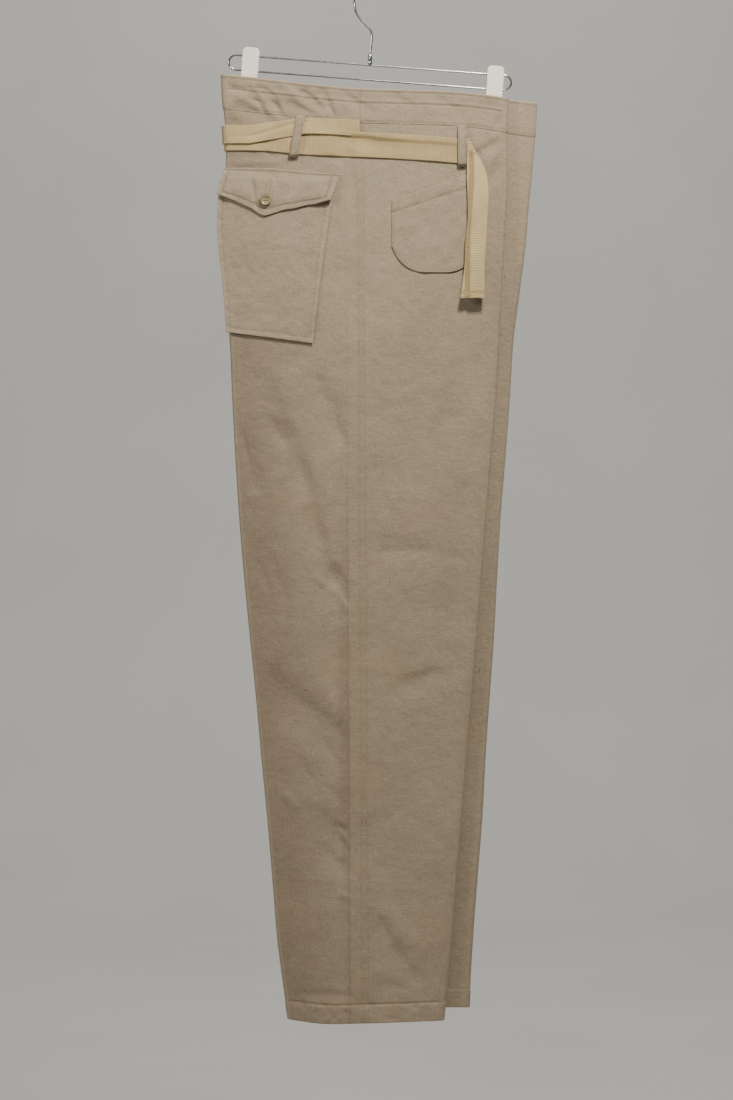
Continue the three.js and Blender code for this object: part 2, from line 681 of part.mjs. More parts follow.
// The hanger: a long loop of wire with two sliding clips, and a hook in a ferrule
const WIRE = 2.4;
const HOOK_WIRE = 2.6;
const HOOK_INNER = 24;
const FRAME = { width: 342, gap: 17.8, centreX: -6, centreZ: -113.6, tilt: degToRad(4.3) };
const CLIP = { width: 20, top: 18.6, bottom: -43, thick: 3, jaw: 4.55, corner: 5 };
const CLIP_PLACES = { left: -144, right: 150.4 };
const FERRULE = { radius: 2.6, length: 12 };
const ROD_SEGMENTS = 5;

function rod(points, radius, steps) {
  const section = new THREE.Shape();
  section.absarc(0, 0, radius, 0, 2 * Math.PI);
  const route = new THREE.CatmullRomCurve3(points, false, "centripetal");
  return new THREE.ExtrudeGeometry(section, {
    steps,
    extrudePath: route,
    curveSegments: ROD_SEGMENTS,
    bevelEnabled: false,
  });
}

const inFrame = (x, z) => new THREE.Vector3(x, 0, z);

function addHangerFrame(hanger) {
  const bend = FRAME.gap / 2;
  const straight = FRAME.width / 2 - bend - WIRE / 2;
  for (const [name, up] of [["upper", 1], ["lower", -1]]) {
    const ends = [-straight + SEAM_GAP, straight - SEAM_GAP];
    const points = ends.map((x) => inFrame(x, up * bend));
    add(`hanger_wire_${name}`, rod(points, WIRE / 2, 1), MATERIALS.wire, hanger);
  }
  for (const [name, side] of [["left", -1], ["right", 1]]) {
    const points = Array.from({ length: 9 }, (_, k) => {
      const angle = Math.PI * (k / 8 - 0.5);
      return inFrame(side * (straight + bend * Math.cos(angle)), bend * Math.sin(angle));
    });
    add(`hanger_end_${name}`, rod(points, WIRE / 2, 10), MATERIALS.wire, hanger);
  }
}

// A jaw is a plate with round top corners, between two depths
function jawGeometry() {
  const { width, top, bottom, thick, corner } = CLIP;
  const shape = new THREE.Shape();
  shape.moveTo(-width / 2, bottom);
  shape.lineTo(width / 2, bottom);
  shape.lineTo(width / 2, top - corner);
  shape.absarc(width / 2 - corner, top - corner, corner, 0, Math.PI / 2);
  shape.absarc(corner - width / 2, top - corner, corner, Math.PI / 2, Math.PI);
  const plate = new THREE.ExtrudeGeometry(shape, { depth: thick, bevelEnabled: false, curveSegments: 5 });
  return plate.rotateX(degToRad(90));
}

function addClip(hanger, name, x) {
  const near = add(`clip_${name}_near_jaw`, jawGeometry(), MATERIALS.plastic, hanger);
  near.position.set(x, -CLIP.jaw, 0);
  const far = add(`clip_${name}_far_jaw`, jawGeometry(), MATERIALS.plastic, hanger);
  far.position.set(x, CLIP.jaw + CLIP.thick, 0);
  const tall = FRAME.gap - WIRE - 2 * SEAM_GAP;
  const block = new THREE.BoxGeometry(CLIP.width * 0.6, 2 * (CLIP.jaw - SEAM_GAP), tall);
  add(`clip_${name}_spring_block`, block, MATERIALS.wire, hanger).position.set(x, 0, 0);
}

function addHook(hanger) {
  const centre = new THREE.Vector3(0, 0, -HOOK_INNER);
  const radius = HOOK_INNER + HOOK_WIRE / 2;
  const upperWireTop = FRAME.centreZ + FRAME.gap / 2 + WIRE / 2;
  const ferruleBottom = upperWireTop + SEAM_GAP;
  const ferruleTop = ferruleBottom + FERRULE.length;
  const ferrule = new THREE.CylinderGeometry(FERRULE.radius, FERRULE.radius, FERRULE.length, 16);
  const barrel = add("hanger_ferrule", ferrule.rotateX(degToRad(90)), MATERIALS.wire);
  barrel.position.set(FRAME.centreX, 0, (ferruleBottom + ferruleTop) / 2);
  const stem = [
    new THREE.Vector3(FRAME.centreX, 0, ferruleTop + SEAM_GAP),
    new THREE.Vector3(-4, 0, -75),
    new THREE.Vector3(-4.4, 0, -65),
    new THREE.Vector3(-9, 0, -58.5),
    new THREE.Vector3(-17, 0, -50),
    new THREE.Vector3(-23, 0, -40.5),
  ];
  const arc = Array.from({ length: 13 }, (_, k) => {
    const angle = lerp(degToRad(192), degToRad(-4), k / 12);
    return centre.clone().add(new THREE.Vector3(radius * Math.cos(angle), 0, radius * Math.sin(angle)));
  });
  add("hanger_hook", rod([...stem, ...arc], HOOK_WIRE / 2, 44), MATERIALS.wire);
}

function addHanger() {
  const hanger = new THREE.Group();
  hanger.position.set(FRAME.centreX, 0, FRAME.centreZ);
  hanger.rotation.y = FRAME.tilt;
  root.add(hanger);
  addHangerFrame(hanger);
  for (const [name, x] of Object.entries(CLIP_PLACES)) addClip(hanger, name, x);
  addHook(hanger);
}

addPanels();
addWaistband();
for (const half of HALVES) {
  addBackPocket(half);
  addFlap(half);
  addFlapButton(half);
  addFrontPocket(half);
  addLoops(half);
  addFreeEnd(half);
}
addBelts();
addFly();
addHanger();

export default root;
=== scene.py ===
"""Work trousers of unbleached cotton drill, folded lengthwise and held by the waist on a clip hanger.

Tables and sizes are in millimetres, and the meshes are made in metres. +Z is up, +X runs to the front
of the garment, and the right half is the near one, seen from -Y.
"""
import math
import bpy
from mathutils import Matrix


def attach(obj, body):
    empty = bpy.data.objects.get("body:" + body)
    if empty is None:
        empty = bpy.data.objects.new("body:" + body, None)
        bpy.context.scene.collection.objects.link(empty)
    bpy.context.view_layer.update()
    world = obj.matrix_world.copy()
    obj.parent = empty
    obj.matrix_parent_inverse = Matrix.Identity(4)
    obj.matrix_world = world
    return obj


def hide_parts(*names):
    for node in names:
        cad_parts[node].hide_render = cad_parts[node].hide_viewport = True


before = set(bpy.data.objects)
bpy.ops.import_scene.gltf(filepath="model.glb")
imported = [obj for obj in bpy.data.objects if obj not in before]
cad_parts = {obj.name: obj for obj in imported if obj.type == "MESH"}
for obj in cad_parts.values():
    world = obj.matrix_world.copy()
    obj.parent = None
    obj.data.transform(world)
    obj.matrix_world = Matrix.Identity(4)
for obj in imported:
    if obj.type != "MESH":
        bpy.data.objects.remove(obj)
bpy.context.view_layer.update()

from types import SimpleNamespace

import bmesh
import bpy
import numpy as np
from mathutils import Vector

METRE = 1000.0

# Driving dimensions of the garment
WAIST_TOP = -133.8
BAND_HEIGHT = 42.0
OUTSEAM = 1118.0
HEM_DEPTH = 22.0
CROTCH = -554.0
SEAM_WAIST_X = -18.0
SEAM_HEM_X = -12.0
SEAM_GAP = -0.2  # sewn pieces run a little into each other, so no light shows through a seam
CLOTH = 1.4
BAND_CLOTH = 2.4
HEM_CLOTH = 2.6
GARMENT_Y = -1.7
FAR_HEM_LIFT = 14.0
PATCH_CLOTH = 1.5
PATCH_LIFT = CLOTH / 2 + 0.6
BAND_LIFT = BAND_CLOTH / 2 + 0.5
BAND_BOTTOM = WAIST_TOP - BAND_HEIGHT
HEM = WAIST_TOP - OUTSEAM
HEM_TOP = HEM + HEM_DEPTH


def table(names, rows):
    """A table with named columns."""
    return dict(zip(names.split(), np.array(rows, float).T))


# The near half's back and front fold at each height, and how far the far half is moved to the front
OUTLINE = table("z back front shift", [
    (-116, -183.6, 159.0, 35.5),
    (-146, -182.4, 158.6, 34.5),
    (-182, -178.6, 158.4, 33.0),
    (-218, -178.0, 158.0, 30.0),
    (-254, -180.0, 158.4, 27.0),
    (-308, -181.0, 155.0, 26.4),
    (-380, -178.0, 151.2, 21.6),
    (-434, -173.6, 148.6, 17.4),
    (-506, -170.4, 144.6, 16.8),
    (-578, -166.6, 138.4, 17.6),
    (-650, -162.0, 132.8, 17.4),
    (-722, -156.0, 127.0, 19.0),
    (-794, -149.0, 121.2, 21.0),
    (-866, -141.8, 115.2, 21.8),
    (-938, -135.4, 109.2, 22.8),
    (-1010, -128.4, 103.2, 25.0),
    (-1082, -122.4, 97.2, 25.4),
    (-1154, -116.4, 91.2, 25.8),
    (-1208, -109.4, 86.0, 27.4),
    (-1252, -103.2, 81.6, 29.6),
])

# The centre front and centre back seams, from the waist down to the crotch
RISE = table("z front back", [
    (-116, 145.0, -136.0),
    (-175, 138.0, -124.0),
    (-254, 117.0, -98.0),
    (-362, 78.0, -58.0),
    (-440, 56.0, -38.0),
    (-500, 41.0, -30.0),
    (-530, 25.0, -25.0),
    (-545, 6.0, -20.5),
    (-554, -16.0, -16.0),
])
INSEAM_CROTCH_X = -16.0
INSEAM_NEAR_HEM_X = -12.0
INSEAM_FAR_HEM_X = 14.0

# The flattened tubes: width between the layers at mid leg, radius of the edge fold, and how far the
# inner layer lies from the plane between the two halves
TUBE = table("z near far near_fold far_fold inner", [
    (-116, 8.0, 3.4, 4.0, 1.7, 1.35),
    (-176, 8.6, 3.8, 4.0, 1.8, 1.4),
    (-260, 13.0, 9.0, 4.5, 3.2, 1.9),
    (-400, 18.0, 16.0, 5.0, 4.5, 2.4),
    (-560, 18.0, 17.0, 4.6, 4.4, 2.4),
    (-800, 15.0, 14.0, 4.2, 4.0, 2.3),
    (-1050, 15.0, 14.0, 4.2, 4.0, 2.2),
    (-1252, 17.0, 16.0, 4.8, 4.6, 2.2),
])

# How far the waistband's edges rise from the side seam's height, and the hem's bottom edge
WAIST_LINE = table("x up", [
    (-184, 17.4), (-126, 11.0), (-90, 6.6), (-54, 3.0), (-18, 0.0),
    (45, -1.6), (90, -3.2), (126, -6.6), (160, -11.6), (195, -16.0),
])
HEM_LINE = table("x up", [(-104, 4.0), (-62, -0.8), (-12, 0.0), (82, 2.4), (112, 2.4)])
WAIST_LINE_FADES_AT = -430.0
HEM_LINE_FADES_AT = -1120.0

# The largest soft folds of the outer layers, each a trough along a line; a negative depth is a ridge
FOLDS = table("x1 z1 x2 z2 depth width", [
    (-126, -494, -117, -528, 0.8, 14),
    (-117, -528, -97, -569, 1.7, 14),
    (-97, -569, -78, -627, 2.5, 15),
    (-78, -627, -62, -704, 2.5, 15),
    (-62, -704, -38, -742, 1.7, 15),
    (-154, -548, -142, -610, 1.0, 10),
    (-62, -490, -44, -552, 1.5, 16),
    (-6, -676, 58, -684, 0.6, 14),
    (-132, -842, -52, -904, 2.8, 26),
    (20, -1122, 46, -1164, -1.4, 13),
    (-60, -1010, -34, -1050, 2.2, 18),
    (104, -470, 74, -560, 1.2, 18),
])

# The finer creases, from the waistband down to the hem
CREASES = table("x1 z1 x2 z2 depth width", [
    (-183, -132, -150, -136, 1.5, 4),
    (-150, -136, -136, -154, 2.4, 5),
    (-136, -154, -131, -171, 2.2, 5),
    (-136, -134, -124, -142, 2.0, 4.5),
    (-124, -142, -113, -162, 2.4, 4.5),
    (-104, -132, -92, -150, -1.2, 6),
    (-85, -139, -62, -157, 2.0, 4.5),
    (-62, -138, -49, -166, 1.8, 4.5),
    (-100, -152, -70, -168, 1.4, 6),
    (-36, -142, -8, -158, 1.0, 6),
    (10, -134, 40, -152, 0.8, 7),
    (62, -140, 100, -160, 0.8, 8),
    (-160, -155, -130, -168, 2.2, 8),
    (-174, -172, -164, -176, 1.6, 6),
    (154, -158, 145, -179, 1.5, 4),
    (156, -194, 114, -215, 1.5, 6),
    (154, -209, 139, -247, 1.7, 7),
    (-28, -214, -28, -254, 1.4, 5),
    (-132, -210, -120, -215, 0.8, 4),
    (-60, -216, -44, -218, 0.9, 4),
    (-178, -222, -118, -222, -1.1, 2.6),
    (-24, -300, -28, -420, 0.9, 16),
    (62, -430, 50, -600, 1.1, 24),
    (96, -700, 84, -860, 1.1, 18),
    (-160, -544, -149, -586, 1.3, 4.5),
    (-149, -586, -145, -612, 0.9, 4.5),
    (-122, -532, -106, -562, 1.0, 6),
    (-67, -484, -59, -510, 0.9, 7),
    (-47, -534, -40, -552, 0.9, 6),
    (-52, -706, -38, -724, 1.2, 9),
    (-68, -719, -56, -731, -0.9, 3.5),
    (-56, -731, -43, -741, -1.0, 3.5),
    (-43, -741, -32, -757, -0.9, 3.5),
    (-138, -703, -124, -737, 1.1, 6),
    (-120, -705, -107, -746, 1.0, 7),
    (10, -688, 62, -686, 0.6, 5),
    (34, -846, 97, -828, 1.4, 11),
    (-60, -850, -41, -894, -1.4, 12),
    (-62, -914, -43, -944, 0.8, 7),
    (-90, -934, -74, -964, 0.6, 6),
    (-74, -964, -64, -986, 0.5, 6),
    (-114, -970, -94, -991, -0.9, 5),
    (-50, -973, -42, -989, 0.6, 5),
    (-44, -1016, -36, -1020, 0.9, 4),
    (-40, -1023, -31, -1037, -1.1, 2.8),
    (-60, -1045, -34, -1070, 1.2, 8),
    (-42, -1097, -31, -1101, -1.0, 2.8),
    (2, -1124, 19, -1154, 1.3, 9),
    (19, -1154, 36, -1183, 1.2, 10),
    (36, -1183, 60, -1205, 0.8, 10),
    (-98, -1216, -30, -1218, 0.9, 5),
    (10, -1206, 44, -1208, 0.6, 6),
])
FAR_MOVE_X = 24.0
FAR_DROP = -46.0
FAR_SHARE = 0.85


def lerp(low, high, t):
    return low + (high - low) * t


def smooth(value, low, high):
    """0 below low, 1 above high, and an even rise between."""
    t = np.clip((value - low) / (high - low), 0, 1)
    return t * t * (3 - 2 * t)


def bell(away, width):
    return np.exp(-(away / width) ** 2)


def reader(rows, key, column):
    """A smooth curve through one column of a table, read at values of its key column."""
    order = np.argsort(rows[key])
    at, value = rows[key][order], rows[column][order]
    count = np.arange(len(at))
    low, high = np.maximum(count - 1, 0), np.minimum(count + 1, len(at) - 1)
    slope = (value[high] - value[low]) / (at[high] - at[low])

    def read(where):
        where = np.clip(where, at[0], at[-1])
        i = np.clip(np.searchsorted(at, where, side="right") - 1, 0, len(at) - 2)
        step = at[i + 1] - at[i]
        t = (where - at[i]) / step
        rise = (2 * t**3 - 3 * t**2 + 1) * value[i] + (3 * t**2 - 2 * t**3) * value[i + 1]
        return rise + (t**3 - 2 * t**2 + t) * step * slope[i] + (t**3 - t**2) * step * slope[i + 1]

    return read


def mottle(x, z, size, seed):
    """Smooth unevenness between -1 and 1, with lumps of the given size."""
    count = 64
    lattice = np.random.default_rng(seed).uniform(-1, 1, (count, count))
    i, j = np.floor(x / size).astype(int), np.floor(z / size).astype(int)
    u, v = smooth(x / size - i, 0, 1), smooth(z / size - j, 0, 1)
    near = lerp(lattice[i % count, j % count], lattice[(i + 1) % count, j % count], u)
    far = lerp(lattice[i % count, (j + 1) % count], lattice[(i + 1) % count, (j + 1) % count], u)
    return lerp(near, far, v)


outline_at = {column: reader(OUTLINE, "z", column) for column in ("back", "front", "shift")}
rise_at = {column: reader(RISE, "z", column) for column in ("back", "front")}
waist_line = reader(WAIST_LINE, "x", "up")
hem_line = reader(HEM_LINE, "x", "up")
inner_at = reader(TUBE, "z", "inner")


def half_of(name, side, depth, fold, hem_x):
    return SimpleNamespace(name=name, side=side, far=side > 0, hem_x=hem_x,
                           depth=reader(TUBE, "z", depth), fold=reader(TUBE, "z", fold))


RIGHT = half_of("right", -1, "near", "near_fold", INSEAM_NEAR_HEM_X)
LEFT = half_of("left", 1, "far", "far_fold", INSEAM_FAR_HEM_X)
HALVES = (RIGHT, LEFT)


def tilt(x, level):
    """How much higher than the side seam's point a ring lies at x."""
    top = smooth(level, WAIST_LINE_FADES_AT, BAND_BOTTOM)
    bottom = 1 - smooth(level, HEM, HEM_LINE_FADES_AT)
    return waist_line(x) * top + hem_line(x) * bottom


def down_leg(level):
    return np.clip((CROTCH - level) / (CROTCH - HEM), 0, 1)


def shift_of(half, z):
    return outline_at["shift"](z) if half.far else 0 * z


def ring_at(half, level, cloth=CLOTH):
    """The flattened tube of one half at each level, which is its height at the side seam."""
    lift = FAR_HEM_LIFT * down_leg(level) * half.far
    shift = shift_of(half, level)

    def fold_x(edge):
        first = outline_at[edge](level) + shift
        return outline_at[edge](level + lift + tilt(first, level)) + shift

    above_crotch = level > CROTCH
    inner = inner_at(level)
    inseam = lerp(INSEAM_CROTCH_X, half.hem_x, down_leg(level))
    seam_share = (BAND_BOTTOM - level) / (BAND_BOTTOM - HEM)
    return SimpleNamespace(
        half=half,
        level=level,
        lift=lift,
        back=fold_x("back"),
        front=fold_x("front"),
        seam=lerp(SEAM_WAIST_X, SEAM_HEM_X, seam_share) + shift,
        depth=half.depth(level),
        fold=half.fold(level),
        inner=inner,
        inner_back=np.where(above_crotch, np.minimum(rise_at["back"](level), inseam), inseam),
        inner_front=np.where(above_crotch, np.maximum(rise_at["front"](level), inseam), inseam),
        seam_y=lerp(SEAM_GAP / 2 + cloth / 2, inner, np.clip((CROTCH - level) / 60, 0, 1)),
    )


def pressed(rows, half, x, z):
    """How deep a table's folds press the outer layer in at a place; each is steeper on its upper side."""
    if half.far:
        x, z = x - FAR_MOVE_X, z - FAR_DROP
    trough, ridge = 0 * x, 0 * x
    for x1, z1, x2, z2, depth, width in zip(*(rows[c] for c in "x1 z1 x2 z2 depth width".split())):
        dx, dz = x2 - x1, z2 - z1
        t = np.clip(((x - x1) * dx + (z - z1) * dz) / (dx * dx + dz * dz), 0, 1)
        away = np.hypot(x - x1 - t * dx, z - z1 - t * dz)
        beside = ((z - z1) * dx - (x - x1) * dz) / math.hypot(dx, dz) * math.copysign(1, dx)
        press = depth * bell(away, width * lerp(1.35, 0.75, smooth(beside, -width, width)))
        press = press * (0.6 + 0.4 * np.sin(np.pi * t))
        trough, ridge = np.maximum(trough, press), np.minimum(ridge, press)
    return (trough + ridge) * (FAR_SHARE if half.far else 1)


def height_at(ring, x):
    return ring.level + ring.lift + tilt(x, ring.level)


FOLDS_DEEPER = 2.5
CREASES_DEEPER = (2.0, 1.7)
ROOM_OVER_CLIP = 1.9


def outer_y(ring, x):
    """The middle of the outer layer's wall at x; past the fold's start it stays flat."""
    half, fold = ring.half, ring.fold
    z = height_at(ring, x)
    from_edge = np.minimum(x - ring.back, ring.front - x)
    share = np.clip((from_edge - fold) / ((ring.front - ring.back) / 2 - fold), 0, 1)
    width = 2 * fold + (ring.depth - 2 * fold) * (1 - (1 - share) ** 2)
    soft = FOLDS_DEEPER * pressed(FOLDS, half, x, z) * smooth(from_edge, fold, fold + 26)
    fine = lerp(*CREASES_DEEPER, smooth(z, -450, -250)) * pressed(CREASES, half, x, z)
    fine = fine + 0.9 * mottle(x, z, 33, 3) + 0.3 * mottle(x, z, 12, 5)
    fine = np.minimum(fine, ROOM_OVER_CLIP + 6 * smooth(WAIST_TOP - ring.level, 22, 34))
    return GARMENT_Y + half.side * (ring.inner + width - soft - fine * smooth(from_edge, fold, fold + 9))


def inner_y(ring, x, edge):
    bend = 1 - smooth(np.abs(x - edge), 0, 22)
    return GARMENT_Y + ring.half.side * lerp(ring.inner, ring.seam_y, bend)


def ring_through(half, x, z):
    """The rings that pass through heights z at x."""
    level = z
    for _ in range(4):
        level = z - tilt(x, level) - FAR_HEM_LIFT * down_leg(level) * half.far
    return ring_at(half, level)


def on_outer(half, x, z, lift):
    """Places on the outer layer, found by x and height, moved out by lift."""
    y = outer_y(ring_through(half, x, z), x) + half.side * lift
    return np.stack(np.broadcast_arrays(x, y, z), -1)


# Materials

def socket_value(tree, socket, value):
    if isinstance(value, bpy.types.NodeSocket):
        tree.links.new(value, socket)
    else:
        socket.default_value = value


def node(tree, kind, settings=None, **inputs):
    """A new node with its settings and its inputs, which are values or other nodes' outputs."""
    made = tree.nodes.new(kind)
    for key, value in (settings or {}).items():
        setattr(made, key, value)
    for key, value in inputs.items():
        socket_value(tree, made.inputs[key.replace("_", " ")], value)
    return made


def calc(tree, operation, *values):
    made = node(tree, "ShaderNodeMath", {"operation": operation})
    for socket, value in zip(made.inputs, values):
        socket_value(tree, socket, value)
    return made.outputs[0]


def mixed(tree, share, low, high):
    made = node(tree, "ShaderNodeMix", {"data_type": "RGBA"})
    for socket, value in zip((made.inputs[0], made.inputs[6], made.inputs[7]), (share, low, high)):
        socket_value(tree, socket, value)
    return made.outputs[2]


def scaled(tree, vector, factors):
    made = node(tree, "ShaderNodeVectorMath", {"operation": "MULTIPLY"})
    socket_value(tree, made.inputs[0], vector)
    made.inputs[1].default_value = factors
    return made.outputs[0]


def noise(tree, vector, scale, detail=2.0, roughness=0.5):
    return node(tree, "ShaderNodeTexNoise", Vector=vector, Scale=scale, Detail=detail,
                Roughness=roughness).outputs[0]


def ramp(tree, value, low, high):
    """0 at low and 1 at high, for picking out a part of a texture."""
    made = node(tree, "ShaderNodeMapRange", {"interpolation_type": "SMOOTHSTEP"})
    for socket, given in zip(made.inputs, (value, low, high, 0.0, 1.0)):
        socket_value(tree, socket, given)
    return made.outputs[0]


def summed(tree, *terms):
    """The sum of pairs of an output and its weight."""
    total = 0.0
    for value, weight in terms:
        total = calc(tree, "MULTIPLY_ADD", value, weight, total)
    return total


def srgb(red, green, blue):
    """A colour given as 0 to 255 on screen, in linear light."""
    return tuple((c / 255 / 12.92 if c < 10.5 else ((c / 255 + 0.055) / 1.055) ** 2.4)
                 for c in (red, green, blue)) + (1.0,)


def new_material(name, **shader):
    material = bpy.data.materials.new(name)
    material.use_nodes = True
    tree = material.node_tree
    principled = tree.nodes["Principled BSDF"]
    for key, value in shader.items():
        principled.inputs[key.replace("_", " ")].default_value = value
    return material, tree, principled


def attribute(tree, name, output):
    return node(tree, "ShaderNodeAttribute", {"attribute_name": name}).outputs[output]


def with_bump(tree, principled, height, strength=0.9):
    bump = node(tree, "ShaderNodeBump", Strength=strength, Distance=0.001, Height=height)
    tree.links.new(bump.outputs[0], principled.inputs["Normal"])


FLECK_COLOUR = srgb(96, 74, 48)


def cloth_material(name, dark, light, yarn, warm):
    """A woven cotton: yarn is the pitch in metres of its slanting ribs, and warm its warmer patches."""
    material, tree, principled = new_material(name, Roughness=0.92, Sheen_Weight=0.12, Sheen_Roughness=0.6,
                                              Specular_IOR_Level=0.18)
    cut = attribute(tree, "cut", "Vector")
    tone = attribute(tree, "tone", "Fac")
    broad = noise(tree, cut, 7.0, 3.0)
    patchy = noise(tree, cut, 60.0, 5.0, 0.65)
    grain = noise(tree, cut, 330.0, 3.0, 0.75)
    weft = noise(tree, scaled(tree, cut, (90.0, 620.0, 1.0)), 1.0, 3.0, 0.6)
    warp = noise(tree, scaled(tree, cut, (620.0, 90.0, 1.0)), 1.0, 3.0, 0.6)
    slant = node(tree, "ShaderNodeTexWave", {"bands_direction": "DIAGONAL"}, Vector=cut,
                 Scale=2 * math.pi / 10 / yarn, Distortion=0.6, Detail=1.0).outputs["Fac"]
    # The tone attribute brings in painted shade from the meshes: stitch grooves, seam step, valleys, folds
    # and the cast shadow on the far panel
    share = summed(tree, (broad, 0.3), (patchy, 0.3), (weft, 0.3), (warp, 0.3), (grain, 0.5), (tone, 0.5))
    colour = mixed(tree, ramp(tree, share, 0.35, 1.35), dark, light)
    colour = mixed(tree, calc(tree, "MULTIPLY", ramp(tree, noise(tree, cut, 12.0, 2.0), 0.52, 0.72), 0.2),
                   colour, warm)
    fleck = ramp(tree, noise(tree, scaled(tree, cut, (1.0, 0.6, 1.0)), 260.0, 1.0), 0.735, 0.78)
    colour = mixed(tree, calc(tree, "MULTIPLY", fleck, 0.45), colour, FLECK_COLOUR)
    tree.links.new(colour, principled.inputs["Base Color"])
    with_bump(tree, principled, summed(tree, (slant, 0.15), (weft, 0.28), (warp, 0.24), (grain, 0.36),
                                       (patchy, 1.2), (noise(tree, cut, 120.0, 3.0), 0.6)))
    return material


def webbing_material(name, dark, light, rib):
    """Ribbed webbing: the ribs run across its width, rib metres apart."""
    material, tree, principled = new_material(name, Roughness=0.8, Sheen_Weight=0.15, Sheen_Roughness=0.5,
                                              Specular_IOR_Level=0.25)
    cut = attribute(tree, "cut", "Vector")
    tone = attribute(tree, "tone", "Fac")
    ribs = node(tree, "ShaderNodeTexWave", {"bands_direction": "Y"}, Vector=cut,
                Scale=2 * math.pi / 20 / rib, Distortion=0.5, Detail=1.0, Detail_Scale=3.0).outputs["Fac"]
    cross = node(tree, "ShaderNodeTexWave", {"bands_direction": "X"}, Vector=cut,
                 Scale=2 * math.pi / 20 / (rib * 0.35), Distortion=0.3).outputs["Fac"]
    broad = noise(tree, cut, 22.0, 3.0)
    grain = noise(tree, cut, 700.0, 2.0, 0.7)
    # The tone attribute brings in each band's own lighter tone and painted shade under the belt's fold and
    # in the free end's crease and hem groove
    share = summed(tree, (broad, 0.7), (ribs, 0.16), (grain, 0.4), (tone, 0.7))
    tree.links.new(mixed(tree, ramp(tree, share, 0.3, 1.15), dark, light), principled.inputs["Base Color"])
    with_bump(tree, principled, summed(tree, (ribs, 0.26), (cross, 0.06), (grain, 0.12)))
    return material


def solid_material(name, dark, light, scale, bump_mm, **shader):
    """A moulded or metal finish with faint unevenness in colour, gloss and surface."""
    material, tree, principled = new_material(name, **shader)
    place = node(tree, "ShaderNodeTexCoord").outputs["Object"]
    patchy = noise(tree, place, scale, 4.0)
    tree.links.new(mixed(tree, ramp(tree, patchy, 0.3, 0.7), dark, light), principled.inputs["Base Color"])
    rough = shader["Roughness"]
    gloss = node(tree, "ShaderNodeMapRange", Value=noise(tree, place, scale * 5, 3.0), To_Min=rough * 0.75,
                 To_Max=rough * 1.3)
    tree.links.new(gloss.outputs[0], principled.inputs["Roughness"])
    with_bump(tree, principled, calc(tree, "MULTIPLY", noise(tree, place, scale * 9, 2.0), bump_mm), 0.5)
    return material


LOOKS = {
    "drill": cloth_material("drill_cloth", srgb(130, 116, 97), srgb(175, 160, 136), 0.0011,
                            srgb(170, 146, 116)),
    "webbing": webbing_material("belt_webbing", srgb(154, 133, 93), srgb(197, 177, 132), 0.003),
    "thread": solid_material("sewing_thread", srgb(160, 138, 108), srgb(184, 160, 128), 900.0, 0.1,
                             Roughness=0.8),
    # The button's cream is painted darker: painted shade from the flap's fold over it
    "button": solid_material("shaded_cream_button", srgb(120, 110, 78), srgb(142, 131, 98), 220.0, 0.05,
                             Roughness=0.35, Coat_Weight=0.2),
    "clip_plastic": solid_material("clip_plastic", srgb(232, 226, 211), srgb(242, 237, 224), 60.0, 0.08,
                                   Roughness=0.42, Specular_IOR_Level=0.45),
    "wire": solid_material("plated_wire", srgb(176, 178, 180), srgb(206, 208, 210), 150.0, 0.04,
                           Roughness=0.2, Metallic=1.0),
}


# Meshes

def linked(name, data):
    """A new object in the scene."""
    made = bpy.data.objects.new(name, data)
    bpy.context.scene.collection.objects.link(made)
    return made


def finish_piece(mesh, name, look, nodes=(), smooth_faces=True):
    piece = linked(name, mesh)
    mesh.materials.append(LOOKS[look])
    mesh.polygons.foreach_set("use_smooth", np.full(len(mesh.polygons), smooth_faces))
    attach(piece, "root")
    if nodes:
        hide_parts(*nodes)
    return piece


def mesh_from(body, name):
    """A new mesh of a finished body; the body itself is freed."""
    mesh = bpy.data.meshes.new(name)
    body.to_mesh(mesh)
    body.free()
    return mesh


def close_ends(mesh, sides):
    """Fills the open ends of bars and wires, and turns their faces outwards."""
    body = bmesh.new()
    body.from_mesh(mesh)
    bmesh.ops.holes_fill(body, edges=[e for e in body.edges if e.is_boundary], sides=sides)
    bmesh.ops.recalc_face_normals(body, faces=body.faces)
    body.to_mesh(mesh)
    body.free()


def quad_mesh(name, points, quads, cut=None, tone=None):
    """A mesh of points in millimetres and four-cornered faces, with the cloth's own coordinates."""
    mesh = bpy.data.meshes.new(name)
    mesh.vertices.add(len(points))
    mesh.vertices.foreach_set("co", (points / METRE).astype(np.float32).ravel())
    mesh.loops.add(4 * len(quads))
    mesh.loops.foreach_set("vertex_index", quads.astype(np.int32).ravel())
    mesh.polygons.add(len(quads))
    mesh.polygons.foreach_set("loop_start", np.arange(0, 4 * len(quads), 4, dtype=np.int32))
    if cut is not None:
        layer = mesh.attributes.new("cut", "FLOAT_VECTOR", "POINT")
        flat = np.concatenate([cut / METRE, np.zeros((len(cut), 1))], 1)
        layer.data.foreach_set("vector", flat.astype(np.float32).ravel())
        mesh.attributes.new("tone", "FLOAT", "POINT").data.foreach_set("value", tone.astype(np.float32))
    mesh.update(calc_edges=True)
    return mesh


def grid_quads(tall, wide, first=0):
    i, j = np.meshgrid(np.arange(tall - 1), np.arange(wide - 1), indexing="ij")
    corner = first + i * wide + j
    return np.stack([corner, corner + 1, corner + wide + 1, corner + wide], -1).reshape(-1, 4)


def ring_quads(count, sides, closed=False):
    """The faces between rings of points, one after the other."""
    ring, k = np.meshgrid(np.arange(count if closed else count - 1), np.arange(sides), indexing="ij")
    here, there, after = ring * sides, (ring + 1) % count * sides, (k + 1) % sides
    return np.stack([here + k, here + after, there + after, there + k], -1).reshape(-1, 4)


def rings_about(points, up, side, radius, sides):
    """A ring of points about each point, in the plane of its ways up and side."""
    angle = 2 * np.pi * np.arange(sides) / sides
    return points[:, None] + radius * (np.cos(angle)[None, :, None] * up[:, None]
                                       + np.sin(angle)[None, :, None] * side[:, None])


def unit(ways):
    return ways / np.linalg.norm(ways, axis=-1, keepdims=True)


